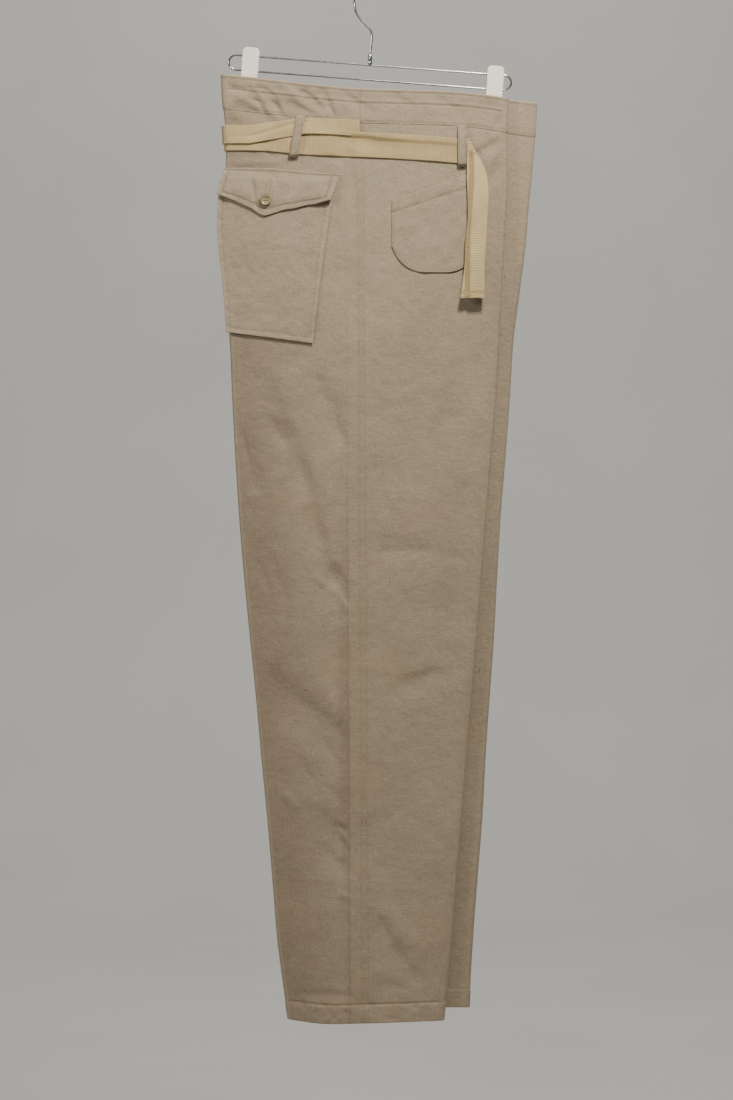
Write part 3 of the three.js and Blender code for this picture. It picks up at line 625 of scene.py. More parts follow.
def grid_normals(middle):
    down = np.gradient(middle, axis=0)
    across = np.gradient(middle, axis=1)
    normal = np.cross(across, down)
    return normal / np.maximum(np.linalg.norm(normal, axis=-1, keepdims=True), 1e-9)


def arc_lengths(middle, axis):
    step = np.linalg.norm(np.diff(middle, axis=axis), axis=-1)
    return np.concatenate([np.zeros_like(np.take(step, [0], axis)), np.cumsum(step, axis=axis)], axis)


def rounded(middle, thick):
    """A wall's thickness over a grid, drawn in along a half circle at its four edges."""
    factor = 1.0
    for axis in (0, 1):
        along = arc_lengths(middle, axis)
        total = np.take(along, [-1], axis)
        for distance in (along, total - along):
            inside = np.clip(distance / (thick / 2), 0, 1)
            factor = factor * np.maximum(np.sqrt(1 - (1 - inside) ** 2), 0.12)
    return thick * factor


def face_volume(corners, *order):
    """A signed measure of the volume inside, from one triangle of each face."""
    a, b, c = (corners[:, k] for k in order)
    return np.einsum("ij,ij->i", a, np.cross(b, c)).sum()


def shell(name, middle, thick, tone=0.0, look="drill", nodes=None, normals=None, cut_x=0.0):
    """A closed wall with round edges about a grid of places, and its cut in the cloth's own sizes."""
    tall, wide = middle.shape[:2]
    normal = grid_normals(middle) if normals is None else normals
    out = normal * rounded(middle, thick)[..., None] / 2
    points = np.concatenate([(middle + out).reshape(-1, 3), (middle - out).reshape(-1, 3)])
    count = tall * wide
    front, back = grid_quads(tall, wide), grid_quads(tall, wide, count)[:, ::-1]
    index = np.arange(count).reshape(tall, wide)
    rim = np.concatenate([index[0], index[1:, -1], index[-1, -2::-1], index[-2:0:-1, 0]])
    after = np.roll(rim, -1)
    sides = np.stack([after, rim, rim + count, after + count], -1)
    quads = np.concatenate([front, back, sides])
    if face_volume(points[quads], 0, 1, 2) + face_volume(points[quads], 0, 2, 3) < 0:
        quads = quads[:, ::-1]
    cut = np.stack([arc_lengths(middle, 1) + cut_x, arc_lengths(middle, 0)], -1).reshape(-1, 2)
    tones = np.broadcast_to(tone, (tall, wide)).ravel()
    piece_name = f"{name}_webbing" if look == "webbing" else f"{name}_cloth"
    mesh = quad_mesh(piece_name, points, quads, np.concatenate([cut, cut]), np.concatenate([tones, tones]))
    return finish_piece(mesh, piece_name, look, nodes or [name])


def spaced(length, step):
    """Distances from 0 to length, finer at both ends where the wall's edge is round."""
    ends = np.array([0.0, 0.12, 0.45, 1.0])
    middle = np.linspace(1.8, length - 1.8, max(int(length / step), 3))
    return np.concatenate([ends, middle, length - ends[::-1]])


# Panels and waistband

STITCH_ROWS = (-3.2, 3.8)
SEAM_ALLOWANCE = 17.0
NEAR_SEAM = np.array([0, 0.12, 0.45, 1.0, 1.8, 2.5, 3.2, 3.9, 4.7, 5.6, 6.8, 8.5, 11, 13.5, 15.6, 16.4,
                      17.2, 18.2, 20.0])
FOLD_STEPS = 9
INNER_STEPS = 9


def section_grid(ring, edge, outer_step):
    """Places over a section from the side seam over the edge fold to the inner edge, without relief."""
    to_front = 1 if edge == "front" else -1
    side = ring.half.side
    start = ring.seam + to_front * SEAM_GAP / 2
    turn = getattr(ring, edge) - to_front * ring.fold
    inner_edge = getattr(ring, "inner_" + edge)
    end = inner_edge + to_front * SEAM_GAP / 2
    outer_count = int(np.abs(turn - start).max() / outer_step)
    near = start + to_front * NEAR_SEAM
    rest = lerp(start + to_front * NEAR_SEAM[-1], turn, np.linspace(0, 1, outer_count)[1:])
    outer_x = np.concatenate([np.broadcast_to(near, (len(start), len(NEAR_SEAM))), rest], 1)
    angle = np.pi * np.arange(1, FOLD_STEPS) / FOLD_STEPS
    fold_x = turn + to_front * ring.fold * np.sin(angle)
    fold_y = GARMENT_Y + side * (ring.inner + ring.fold * (1 + np.cos(angle)))
    inner_share = np.concatenate([np.linspace(0, 0.985, INNER_STEPS), [0.993, 0.998, 1.0]])
    inner_x = lerp(turn, end, inner_share)
    x = np.concatenate([outer_x, fold_x, inner_x], 1)
    y = np.concatenate([outer_y(ring, outer_x), fold_y, inner_y(ring, inner_x, inner_edge)], 1)
    return x, y, outer_x.shape[1]


def column(ring):
    """The ring's numbers as columns, so that they spread over a section's places."""
    shaped = {key: (value[:, None] if isinstance(value, np.ndarray) else value)
              for key, value in vars(ring).items()}
    return SimpleNamespace(**shaped)


HEM_ROW = HEM_TOP + 0.8
SEAM_SOFTENS = (-760, -560)  # heights between which the pressed seam grows softer
VALLEY_Z = -900.0  # the middle of the long hollow beside the seam allowance
VALLEY_REACH = 190.0


def leg_relief(ring, x):
    """What stands proud of the plain panel: the pressed seam allowance, stitch rows and the hem."""
    z = height_at(ring, x)
    s = x - ring.seam
    pressed_in = lerp(0.75, 0.3, smooth(z, *SEAM_SOFTENS)) * lerp(0.5, 1, smooth(z, -1220, -1120))
    ridge = pressed_in * (smooth(s, -SEAM_ALLOWANCE - 0.9, -SEAM_ALLOWANCE + 0.7) - smooth(s, 4.8, 7.0))
    ridge = ridge - 2.2 * bell(s + SEAM_ALLOWANCE + 7, 6) * bell(z - VALLEY_Z, VALLEY_REACH)
    rows = sum(bell(s - at, 0.85) for at in STITCH_ROWS)
    pucker = 0.2 * mottle(0 * x, z, 6.5, 11) * bell(s, 8)
    from_row = ring.level - HEM_ROW
    in_hem = 1 - smooth(from_row, -3.0, 0.0)
    hem_pucker = 0.9 * mottle(x + 0.6 * z, 0 * x, 8.0, 17) * bell(from_row, 7)
    below = 0.8 * mottle(x, z, 7.0, 19) * in_hem
    return ridge - 0.28 * rows + pucker - 0.85 * bell(from_row, 1.1) + 0.1 * in_hem + hem_pucker + below


def leg_painted_shading(ring, x):
    """Painted shade in the seam's step, stitch rows and valleys, along the folds and in the hem's stitch
    groove; lighter under the hem's row.
    """
    z = height_at(ring, x)
    s = x - ring.seam
    from_row = ring.level - HEM_ROW
    # Painted shade: in the stitch grooves, the seam allowance's step, the long valley, over 55 mm by the
    # back fold, thinly by the front fold and in the hem's stitch groove
    rows = sum(bell(s - at, 1.2) for at in STITCH_ROWS)
    step = bell(s + SEAM_ALLOWANCE + 0.8, 1.6) * lerp(1, 0.3, smooth(z, *SEAM_SOFTENS))
    edges = bell(x - ring.back, 55) + 0.3 * bell(ring.front - x, 9)
    valley = bell(s + SEAM_ALLOWANCE + 6, 6) * bell(z - VALLEY_Z, VALLEY_REACH)
    hem = 0.25 * bell(from_row + 3, 2.2) - 0.9 * bell(from_row, 1.0)
    painted_shading = -0.3 * valley - 0.2 * rows - 0.3 * step + hem
    if ring.half.far:
        # Painted shadow of the near half's front edge: all of the far panel up to that edge is darker, and a
        # thin line past it
        near_edge = outline_at["front"](ring.level)
        painted_shading = painted_shading - 0.9 * bell(np.maximum(x - near_edge, 0), 4.5)
    return painted_shading - 0.5 * edges


PANEL_TOP = BAND_BOTTOM - SEAM_GAP / 2
ROW_STEP = {"right": 3.1, "left": 3.8}
OUTER_STEP = {"right": 2.9, "left": 3.4}


def panel_levels(step):
    """Rows from the waistband's seam to the hem, 1 mm apart where the hem is turned up."""
    top = PANEL_TOP - np.array([0, 0.12, 0.45, 1.0, 2.0])
    body = np.arange(PANEL_TOP - 2 - step, HEM_TOP + 6, -step)
    hem = np.linspace(HEM_TOP + 6, HEM + 1.6, 27)
    return np.concatenate([top, body, hem, HEM + np.array([0.9, 0.4, 0.1, 0])])


def relieved(ring, edge, step, relief):
    """A section's places with the relief of its outer face, and x over that face."""
    x, y, outer_count = section_grid(ring, edge, step)
    outer = x[:, :outer_count]
    fade = smooth(np.abs(outer - getattr(ring, edge)), ring.fold, ring.fold + 4)
    y[:, :outer_count] += ring.half.side * relief(ring, outer) * fade
    return np.stack([x, y, height_at(ring, x)], -1), outer


def add_panel(half, edge):
    level = panel_levels(ROW_STEP[half.name])
    ring = column(ring_at(half, level))
    middle, outer = relieved(ring, edge, OUTER_STEP[half.name], leg_relief)
    thick = lerp(HEM_CLOTH, CLOTH, smooth(level, HEM_TOP - 1.5, HEM_TOP + 0.5))[:, None]
    tone = np.zeros(middle.shape[:2])
    tone[:, :outer.shape[1]] = leg_painted_shading(ring, outer)
    name = f"{half.name}_{edge}"
    return shell(name, middle, thick, tone, nodes=[name, name + "_fold", name + "_inner"])


BAND_SEAMS = (-169.2, -104.4)
BAND_RIDGE_DOWN = 15.0
BAND_EDGE_STITCH = 3.6
BAND_LOWER_STITCH = BAND_HEIGHT - 2.6
BAND_STEP = 2.2


def band_relief(ring, x):
    """The waistband's edge stitch, the ridge of its inner fold, its joins and its lower stitch row."""
    down = WAIST_TOP - ring.level
    z = height_at(ring, x)
    grooves = 0.5 * bell(down - BAND_EDGE_STITCH, 0.9) + 0.4 * bell(down - BAND_LOWER_STITCH, 0.9)
    ridge = 0.6 * bell(down - BAND_RIDGE_DOWN, 1.3) - 0.5 * bell(down - BAND_RIDGE_DOWN - 2.6, 1.3)
    joins = sum(0.55 * bell(x - shift_of(ring.half, ring.level) - at, 1.0) for at in BAND_SEAMS)
    pucker = 0.3 * mottle(x, 0 * x, 7.0, 23) * (bell(down - BAND_EDGE_STITCH, 4) + bell(down - 38, 5))
    return ridge - grooves - joins + pucker + 0.28 * mottle(x, z, 8.0, 29)


def add_waistband(half, edge):
    level = WAIST_TOP - spaced(BAND_HEIGHT - SEAM_GAP / 2, 1.2)
    middle, _ = relieved(column(ring_at(half, level, BAND_CLOTH)), edge, BAND_STEP, band_relief)
    down = (WAIST_TOP - level)[:, None]
    # Painted shade in the two stitch grooves, and lighter along the top edge
    stitches = 0.7 * bell(down - BAND_EDGE_STITCH, 0.9) + 0.4 * bell(down - BAND_LOWER_STITCH, 0.9)
    return shell(f"waistband_{half.name}_{edge}", middle, BAND_CLOTH, 0.3 * bell(down, 1.6) - stitches)


# Patches, which lie on the outer layer

def patch_places(half, x, z, lift):
    """Places over the outer layer; the far half's patches are moved with it."""
    return on_outer(half, x + shift_of(half, z), z, lift)


def patch(name, half, middle, thick, tone, look="drill", cut_x=0.0):
    """A shell whose wall stands on the half's outer face."""
    facing = np.broadcast_to([0.0, half.side, 0.0], middle.shape)
    return shell(name, middle, thick, tone, look, normals=facing, cut_x=cut_x)


BACK_POCKET = table("row left_x left_z right_x right_z", [
    (0, -186.0, -244.0, -48.6, -251.0),
    (1, -188.0, -272.0, -53.0, -276.0),
    (2, -189.0, -300.0, -57.0, -303.0),
    (3, -187.0, -328.0, -61.8, -334.0),
    (4, -183.0, -362.0, -66.0, -370.0),
    (5, -180.0, -396.0, -70.6, -406.0),
    (6, -178.4, -426.0, -74.4, -440.0),
])
POCKET_STITCH = 4.8
POCKET_HEM = 7.2
POCKET_WIDTH = 124.0
POCKET_HEIGHT = 184.0


def table_readers(rows, key):
    return {name: reader(rows, key, name) for name in rows if name != key}


def add_back_pocket(half):
    """A patch with turned, stitched sides and bottom, slightly full in its middle."""
    read = table_readers(BACK_POCKET, "row")
    u = spaced(POCKET_WIDTH, 2.0)[None, :] / POCKET_WIDTH
    v = spaced(POCKET_HEIGHT, 2.4)[:, None] / POCKET_HEIGHT
    row = v * BACK_POCKET["row"][-1]
    x = lerp(read["left_x"](row), read["right_x"](row), u)
    z = lerp(read["left_z"](row), read["right_z"](row), u)
    from_side = np.minimum(u, 1 - u) * POCKET_WIDTH
    from_bottom = (1 - v) * POCKET_HEIGHT
    from_edge = np.minimum(from_side, from_bottom)
    rows = np.maximum(bell(from_side - POCKET_STITCH, 0.9) * (from_bottom > POCKET_STITCH),
                      bell(from_bottom - POCKET_HEM, 0.9) * (from_side > POCKET_STITCH - 1))
    turned = 1 - smooth(np.minimum(from_side - POCKET_STITCH, from_bottom - POCKET_HEM), -1.2, 0)
    belly = 1.6 * smooth(from_side, 4, 40) * smooth(from_bottom, 4, 60)
    creases = 1.1 * mottle(x + 0.12 * z, 0.3 * z, 15, 31) + 0.35 * mottle(x, z, 7, 37)
    pucker = 0.5 * mottle(x - z, x + z, 6, 33) * bell(from_edge - 5, 5)
    folds = creases * (1 - turned) * smooth(from_edge, 3, 16) + pucker
    lift = PATCH_LIFT + PATCH_CLOTH / 2 + 0.3 + belly + 0.5 * turned - 1.0 * rows + folds
    # Its tone: painted shade in the stitch grooves, a little lighter over the turned edges
    return patch(f"back_pocket_{half.name}", half, patch_places(half, x, z, lift), PATCH_CLOTH,
                 -0.7 * rows + 0.2 * turned, cut_x=300.0)


FLAP = table("column top_x top_z bottom_x bottom_z", [
    (0, -179.0, -229.5, -189.6, -261.0),
    (1, -160.0, -229.5, -168.0, -270.0),
    (2, -140.0, -229.8, -149.0, -278.6),
    (3, -124.0, -230.0, -133.2, -286.3),
    (4, -100.0, -232.4, -108.0, -281.4),
    (5, -72.0, -235.2, -80.0, -275.0),
    (6, -42.0, -237.4, -52.8, -268.8),
])
FLAP_CLOTH = 2.0
FLAP_STITCH = 6.4
FLAP_WIDTH = 138.0
FLAP_HEIGHT = 46.0
OVER_POCKET = PATCH_LIFT + PATCH_CLOTH + 0.4
FLAP_LIFT = table("down lift", [
    (0, PATCH_LIFT),
    (0.12, PATCH_LIFT + 0.3),
    (0.3, OVER_POCKET),
    (0.65, OVER_POCKET + 0.5),
    (1, OVER_POCKET + 0.3),
])


def flap_grid(half):
    """Places over the flap's middle face, and its tone: painted shade in the stitch grooves, lighter along
    the edge.
    """
    read = table_readers(FLAP, "column")
    lift_at = reader(FLAP_LIFT, "down", "lift")
    u = spaced(FLAP_WIDTH, 1.5)[None, :] / FLAP_WIDTH
    v = spaced(FLAP_HEIGHT, 1.3)[:, None] / FLAP_HEIGHT
    at = u * FLAP["column"][-1]
    x = lerp(read["top_x"](at), read["bottom_x"](at), v)
    z = lerp(read["top_z"](at), read["bottom_z"](at), v)
    z = z + 1.0 * mottle(x, 0 * z, 12, 47) * v
    from_edge = np.minimum(np.minimum(u, 1 - u) * FLAP_WIDTH, (1 - v) * FLAP_HEIGHT)
    rows = np.maximum(bell(from_edge - FLAP_STITCH, 0.9), bell(v * FLAP_HEIGHT - 3.4, 0.9))
    belly = 1.4 * smooth(from_edge, 3, 16) * smooth(v, 0, 0.5)
    crease = 2.2 * bell(x - lerp(-150, -141.6, v), 3.2) * smooth(v, 0.1, 0.4)
    raised = 1.6 * smooth(v, 0.45, 1) + 2.0 * smooth(u, 0.82, 1) * smooth(v, 0.3, 1)
    wave = 0.8 * mottle(x, z, 13, 41) + 0.3 * mottle(x, z, 5, 45) * bell(from_edge - FLAP_STITCH, 5)
    soft = belly + raised + wave - crease * smooth(from_edge, 0, 6)
    lift = lift_at(v) + FLAP_CLOTH / 2 + 0.5 + soft - 0.9 * rows
    return patch_places(half, x, z, lift), -0.7 * rows + 0.3 * bell(from_edge, 2)


def add_flap(half):
    middle, tone = flap_grid(half)
    return patch(f"pocket_flap_{half.name}", half, middle, FLAP_CLOTH, tone, cut_x=500.0)


FRONT_POCKET = SimpleNamespace(left=20.0, right=124.4, top_left=-268.8, top_right=-233.0, bottom=-355.0,
                               height=100.0, corner=40.0, hem=14.6, stitch=1.8)


def front_pocket_grid():
    """x and height over the front pocket, with the distances from its top and from its sewn edge."""
    p = FRONT_POCKET
    middle, reach = (p.left + p.right) / 2, (p.right - p.left) / 2
    turn = np.linspace(0, np.pi, 64)[None, :]
    v = spaced(p.height, 2.0)[:, None] / p.height
    x = middle - reach * np.cos(turn)
    out = np.maximum(0, np.abs(x - middle) - (reach - p.corner)) / p.corner
    bottom = p.bottom + p.corner * (1 - np.sqrt(1 - np.minimum(out, 0.97) ** 2))
    top = lerp(p.top_left, p.top_right, (x - p.left) / (p.right - p.left))
    z = lerp(top, bottom, v)
    return x + 0 * v, z, top - z, np.minimum(z - bottom, reach - np.abs(x - middle))


def add_front_pocket(half):
    """A round-cornered patch with a slanting hemmed top."""
    x, z, from_top, from_edge = front_pocket_grid()
    hem_row = bell(from_top - FRONT_POCKET.hem, 0.9)
    tack = bell(x - FRONT_POCKET.left - 7.6, 0.8) * (1 - smooth(from_top, 13, 14.5))
    edge_row = bell(from_edge - FRONT_POCKET.stitch, 0.8)
    in_hem = 1 - smooth(from_top - FRONT_POCKET.hem, -1.2, 0)
    creases = 0.9 * bell((x - 108) + 0.45 * (z + 246), 2.4) * smooth(z, -268, -250)
    belly = 0.9 * smooth(from_edge, 2, 30)
    lift = PATCH_LIFT + PATCH_CLOTH / 2 + 0.4 * in_hem + belly - 0.7 * hem_row - 0.6 * tack - 0.5 * edge_row
    lift = lift - creases + 0.5 * mottle(x, z, 12, 43)
    # Its tone: painted shade in the hem's stitch groove, the tack and the edge stitch groove
    return patch(f"front_pocket_{half.name}", half, patch_places(half, x, z, lift), PATCH_CLOTH,
                 -0.5 * hem_row - 0.4 * tack - 0.3 * edge_row, cut_x=700.0)


# Belt, waist tape, free ends and loops

WEBBING = 1.6
BELT_LIFT = PATCH_LIFT
TAPE_LIFT = BELT_LIFT + WEBBING + 0.5
OVER_BELTS = TAPE_LIFT + WEBBING + 0.5
BELT_WIDTH = 30.0
BELT = table("x z width", [(x, z, BELT_WIDTH) for x, z in (
    (113.4, -209.6),
    (98.0, -209.0),
    (74.0, -206.8),
    (49.0, -205.2),
    (19.0, -203.4),
    (-25.0, -201.5),
    (-60.0, -200.0),
    (-90.0, -198.4),
    (-128.0, -194.6),
    (-150.0, -193.8),
)])
TAPE = table("x z width", [
    (-18.3, -182.0, 20.0),
    (-50.0, -180.4, 19.0),
    (-82.8, -179.6, 19.0),
    (-96.0, -181.4, 20.0),
    (-126.0, -185.6, 21.6),
    (-150.0, -189.6, 22.0),
])
BACK_ARC_STEPS = 14


def band_line(rows, lift, share, waves):
    """One line of a band round the back, at a share of its width above its middle, and its way out."""
    z_at, width_at = reader(rows, "x", "z"), reader(rows, "x", "width")
    first, last = rows["x"][0], rows["x"][-1]
    x = first - spaced(first - last, 1.6)
    z = z_at(x) + share * width_at(x)
    last_z = z[-1]
    near = on_outer(RIGHT, x, z, lift + waves(x, share))
    noses = []
    for half in HALVES:
        ring = ring_through(half, np.array([last]), np.array([last_z]))
        noses.append((ring.back[0] + ring.fold[0], GARMENT_Y + half.side * (ring.inner + ring.fold)[0],
                      ring.fold[0] + lift))
    (near_x, near_y, near_r), (far_x, far_y, far_r) = noses
    along = math.atan2(far_y - near_y, far_x - near_x)
    bridge = along + math.pi / 2 + math.asin((near_r - far_r) / math.hypot(far_x - near_x, far_y - near_y))
    places, ways = [near], [np.broadcast_to([0.0, -1.0, 0.0], near.shape)]
    for (nose_x, nose_y, radius), start, end in ((noses[0], 1.5 * math.pi, bridge),
                                                 (noses[1], bridge, 0.5 * math.pi)):
        angle = np.linspace(start, end, BACK_ARC_STEPS)
        way = np.stack([np.cos(angle), np.sin(angle), 0 * angle], -1)
        places.append(np.array([nose_x, nose_y, last_z]) + radius * way)
        ways.append(way)
    back_x, back_z = x[::-1], z[::-1]
    places.append(patch_places(LEFT, back_x, back_z, lift + waves(back_x, share)))
    ways.append(np.broadcast_to([0.0, 1.0, 0.0], near.shape))
    return np.concatenate(places), np.concatenate(ways)


def add_band(name, rows, lift, waves, tone_of):
    shares = 0.5 - spaced(BELT_WIDTH, 2.2) / BELT_WIDTH
    lines = [band_line(rows, lift + WEBBING / 2, share, waves) for share in shares]
    middle, ways = (np.stack(column_of, 1) for column_of in zip(*lines))
    return shell(name, middle, WEBBING, tone_of(middle[..., 0], shares[None, :]), "webbing", normals=ways)


def belt_fold_up(x):
    """How far above the belt's middle its lengthwise fold lies."""
    return lerp(11.5, 7.6, smooth(x, -50, 30))


def belt_waves(x, share):
    """The belt is pulled into lengthwise folds towards the front."""
    above = share * BELT_WIDTH - belt_fold_up(x)
    step = 2.0 * smooth(above, -0.9, 0.5) * smooth(x, -52, -40) * (1 - 0.6 * smooth(x, 20, 60))
    sag = 0.9 * bell(above + 9, 6) * smooth(x, -60, 0) * (1 - smooth(x, 50, 100))
    return 0.5 * mottle(x, share * 30 + 0 * x, 21, 53) + step - sag


# Painted shadow just under the belt's lengthwise fold step, towards the front
def belt_fold_shadow(x, share):
    return -0.8 * bell(share * BELT_WIDTH - belt_fold_up(x) + 1, 1.4) * smooth(x, -52, -40)


def tape_waves(x, share):
    """The tape has a lengthwise crease towards the back, which fades out by the back loop."""
    rolled = 1.3 * bell(share - lerp(-0.1, 0.25, smooth(x, -150, -90)), 0.08)
    return 0.7 * mottle(x, share * 26 + 0 * x, 17, 59) - rolled * (1 - smooth(x, -92, -70))


TAPE_TONE = 0.1


def add_belts():
    belt = add_band("belt", BELT, BELT_LIFT, belt_waves, belt_fold_shadow)
    tape = add_band("waist_tape", TAPE, TAPE_LIFT, tape_waves, lambda x, share: TAPE_TONE)
    return belt, tape


FREE_END = table("z left right lift", [
    (-198.0, 110.0, 114.4, OVER_BELTS - 1.6),
    (-207.0, 109.8, 119.0, OVER_BELTS - 1.6),
    (-224.4, 109.8, 128.4, OVER_BELTS + 0.4),
    (-244.0, 109.8, 134.4, OVER_BELTS + 2.4),
    (-268.0, 110.6, 135.6, 9.5),
    (-292.0, 110.4, 134.0, 10.5),
    (-316.0, 108.0, 132.8, 11.0),
    (-350.0, 106.4, 130.8, 11.4),
    (-386.4, 101.4, 130.8, 11.8),
])
FREE_END_X = 112.0
FREE_END_WIDTH = 26.0
FREE_END_HEM = 7.0


def add_free_end(half):
    """The belt's end hangs from the front loop, with a crease along its back edge and a turned-up tip."""
    read = table_readers(FREE_END, "z")
    top, bottom = FREE_END["z"][0], FREE_END["z"][-1]
    z = (top - spaced(top - bottom, 2.0))[:, None]
    u = spaced(FREE_END_WIDTH, 1.3)[None, :] / FREE_END_WIDTH
    shift = shift_of(half, z)
    base = on_outer(half, FREE_END_X + shift, z, read["lift"](z))[..., 1]
    x = lerp(read["left"](z), read["right"](z), u) + shift
    cupped = 1.3 * (1 - smooth(z, -380, -230)) * (2 * u - 1) ** 2
    fold = 2.6 * bell(x - shift - lerp(110, 115, smooth(z, -330, -240)), 2.4) * (1 - smooth(z, -222, -205))
    from_row = z - bottom - FREE_END_HEM
    hem = 1.3 * (1 - smooth(from_row, -1, 0)) - 0.5 * bell(from_row, 0.9)
    y = base + half.side * (hem - fold - cupped + 0.5 * mottle(x, z, 19, 61))
    middle = np.stack(np.broadcast_arrays(x, y, z), -1)
    # Painted shade in the hem's stitch groove and along the lengthwise crease, on a slightly lighter base
    tone = 0.3 - 1.3 * bell(from_row, 1.5) - 0.5 * fold
    return patch(f"belt_end_{half.name}", half, middle, WEBBING, tone, "webbing")


LOOP_CLOTH = 1.8
LOOPS = (
    SimpleNamespace(name="back", top_x=-88.8, top_z=-166.0, bottom_x=-97.4, bottom_z=-217.6, width=10.4,
                    over=0.07, flare=1.6),
    SimpleNamespace(name="front", top_x=104.1, top_z=-178.2, bottom_x=104.1, bottom_z=-228.7, width=10.2,
                    over=0.28, flare=0.0),
)
LOOP_LEAVES = 0.92  # share of a loop's length where it drops back to the cloth


def add_loop(half, loop):
    """A belt loop: out from the waistband, over belt and tape, and back to the cloth."""
    lift_at = reader(table("down lift", [
        (0, BAND_LIFT), (loop.over, OVER_BELTS), (0.5, OVER_BELTS + 0.4), (LOOP_LEAVES, OVER_BELTS),
        (1, PATCH_LIFT),
    ]), "down", "lift")
    length = loop.top_z - loop.bottom_z
    v = spaced(length, 1.5)[:, None] / length
    u = spaced(loop.width, 1.1)[None, :] / loop.width - 0.5
    wide = loop.width + loop.flare * smooth(v, 0.82, 1.0)
    x = lerp(loop.top_x, loop.bottom_x, v) + u * wide
    z = lerp(loop.top_z, loop.bottom_z, v) + 0 * u
    rows = bell((0.5 - np.abs(u)) * loop.width - 1.6, 0.7)
    lift = lift_at(v) + LOOP_CLOTH / 2 + 0.25 * (1 - (2 * u) ** 2) - 0.3 * rows + 0.15 * mottle(x, z, 7, 67)
    # Its tone: painted shade in the two stitch grooves
    return patch(f"loop_{half.name}_{loop.name}", half, patch_places(half, x, z, lift), LOOP_CLOTH,
                 -0.35 * rows, cut_x=900.0)


FLY = SimpleNamespace(width=38.0, down=14.0, bottom=-330.0, cloth=1.4)


def add_fly():
    """The shield behind the front opening, hidden between the halves."""
    top = WAIST_TOP - FLY.down
    z = (top - spaced(top - FLY.bottom, 4.0))[:, None]
    x = rise_at["front"](z) - SEAM_GAP - FLY.width + spaced(FLY.width, 3.0)[None, :]
    middle = np.stack(np.broadcast_arrays(x, GARMENT_Y + 0.1 * mottle(x, z, 14, 71), z), -1)
    return patch("fly_shield", RIGHT, middle, FLY.cloth, 0.0, cut_x=1100.0)


# Stitching, made as short rounded bars of thread

THREAD = 0.34
STITCH_PITCH = 3.1
STITCH_LENGTH = 2.3
BAR_SIDES = 5
BAR_RINGS = ((0.0, 0.25), (0.15, 0.85), (0.5, 1.0), (0.85, 0.85), (1.0, 0.25))


def bars(name, starts, ends, radius):
    """One mesh of many short bars from starts to ends, their ends drawn in to a point."""
    along = ends - starts
    way = unit(along)
    helper = np.where(np.abs(way[:, 1:2]) > 0.9, [[1.0, 0.0, 0.0]], [[0.0, 1.0, 0.0]])
    side = unit(np.cross(way, helper))
    up = np.cross(side, way)
    rings = [rings_about(starts + along * at, side, up, radius * wide, BAR_SIDES) for at, wide in BAR_RINGS]
    first = np.arange(len(starts))[:, None, None] * len(BAR_RINGS) * BAR_SIDES
    quads = (first + ring_quads(len(BAR_RINGS), BAR_SIDES)).reshape(-1, 4)
    mesh = quad_mesh(name, np.stack(rings, 1).reshape(-1, 3), quads)
    close_ends(mesh, BAR_SIDES)
    return finish_piece(mesh, name, "thread")


def row_of_stitches(path):
    """Starts and ends of the stitches along a line of places."""
    along = arc_lengths(path, 0)
    first = np.arange(0.4, along[-1] - STITCH_LENGTH, STITCH_PITCH)
    return [np.stack([np.interp(at, along, path[:, k]) for k in range(3)], -1)
            for at in (first, first + STITCH_LENGTH)]


def leg_face(half, x, z):
    """Places on the panel's outer face, with its relief."""
    ring = ring_through(half, x, z)
    lift = leg_relief(ring, x) + CLOTH / 2 + THREAD * 0.4
    return np.stack([x, outer_y(ring, x) + half.side * lift, z], -1)


def add_stitching(half):
    """Two rows of stitches down the side seam, and one round the hem."""
    z = np.arange(PANEL_TOP - 3, HEM + 3 + FAR_HEM_LIFT * half.far, -1.5)
    seam = ring_at(half, z - FAR_HEM_LIFT * down_leg(z) * half.far).seam
    rows = [leg_face(half, seam + at, z) for at in STITCH_ROWS]
    hem_ring = ring_at(half, np.array([HEM_ROW]))
    x = np.arange(hem_ring.back[0] + 6, hem_ring.front[0] - 6, 1.5)
    rows.append(leg_face(half, x, height_at(hem_ring, x)))
    starts, ends = zip(*(row_of_stitches(row) for row in rows))
    return bars(f"seam_stitching_{half.name}", np.concatenate(starts), np.concatenate(ends), THREAD)


# Buttons and buttonholes

BUTTON = SimpleNamespace(thick=3.0, hole=0.75, hole_from_middle=1.5, hole_sides=12, thread=0.26)
# Radius and height round the button's section
BUTTON_PROFILE = ((0, 0), (5.6, 0), (6.3, 0.25), (6.8, 0.8), (7.0, 1.5), (6.9, 2.3), (6.5, 2.85), (6.0, 3.0),
                  (5.5, 2.9), (5.0, 2.55), (4.3, 2.35), (0, 2.35))
BUTTON_SIDES = 40
WAIST_BUTTON = np.array([119.0, GARMENT_Y - FLY.cloth / 2 - 0.3, WAIST_TOP - 24])


def drilled(name, body, tool):
    """The mesh of a body after a cutter is taken out of it."""
    piece = linked(name, mesh_from(body, name))
    cutter = linked(name + "_holes", mesh_from(tool, name + "_holes"))
    cut = piece.modifiers.new("holes", "BOOLEAN")
    cut.operation, cut.object, cut.solver = "DIFFERENCE", cutter, "EXACT"
    graph = bpy.context.evaluated_depsgraph_get()
    mesh = bpy.data.meshes.new_from_object(piece.evaluated_get(graph))
    for used in (cutter, piece):
        bpy.data.objects.remove(used)
    return mesh


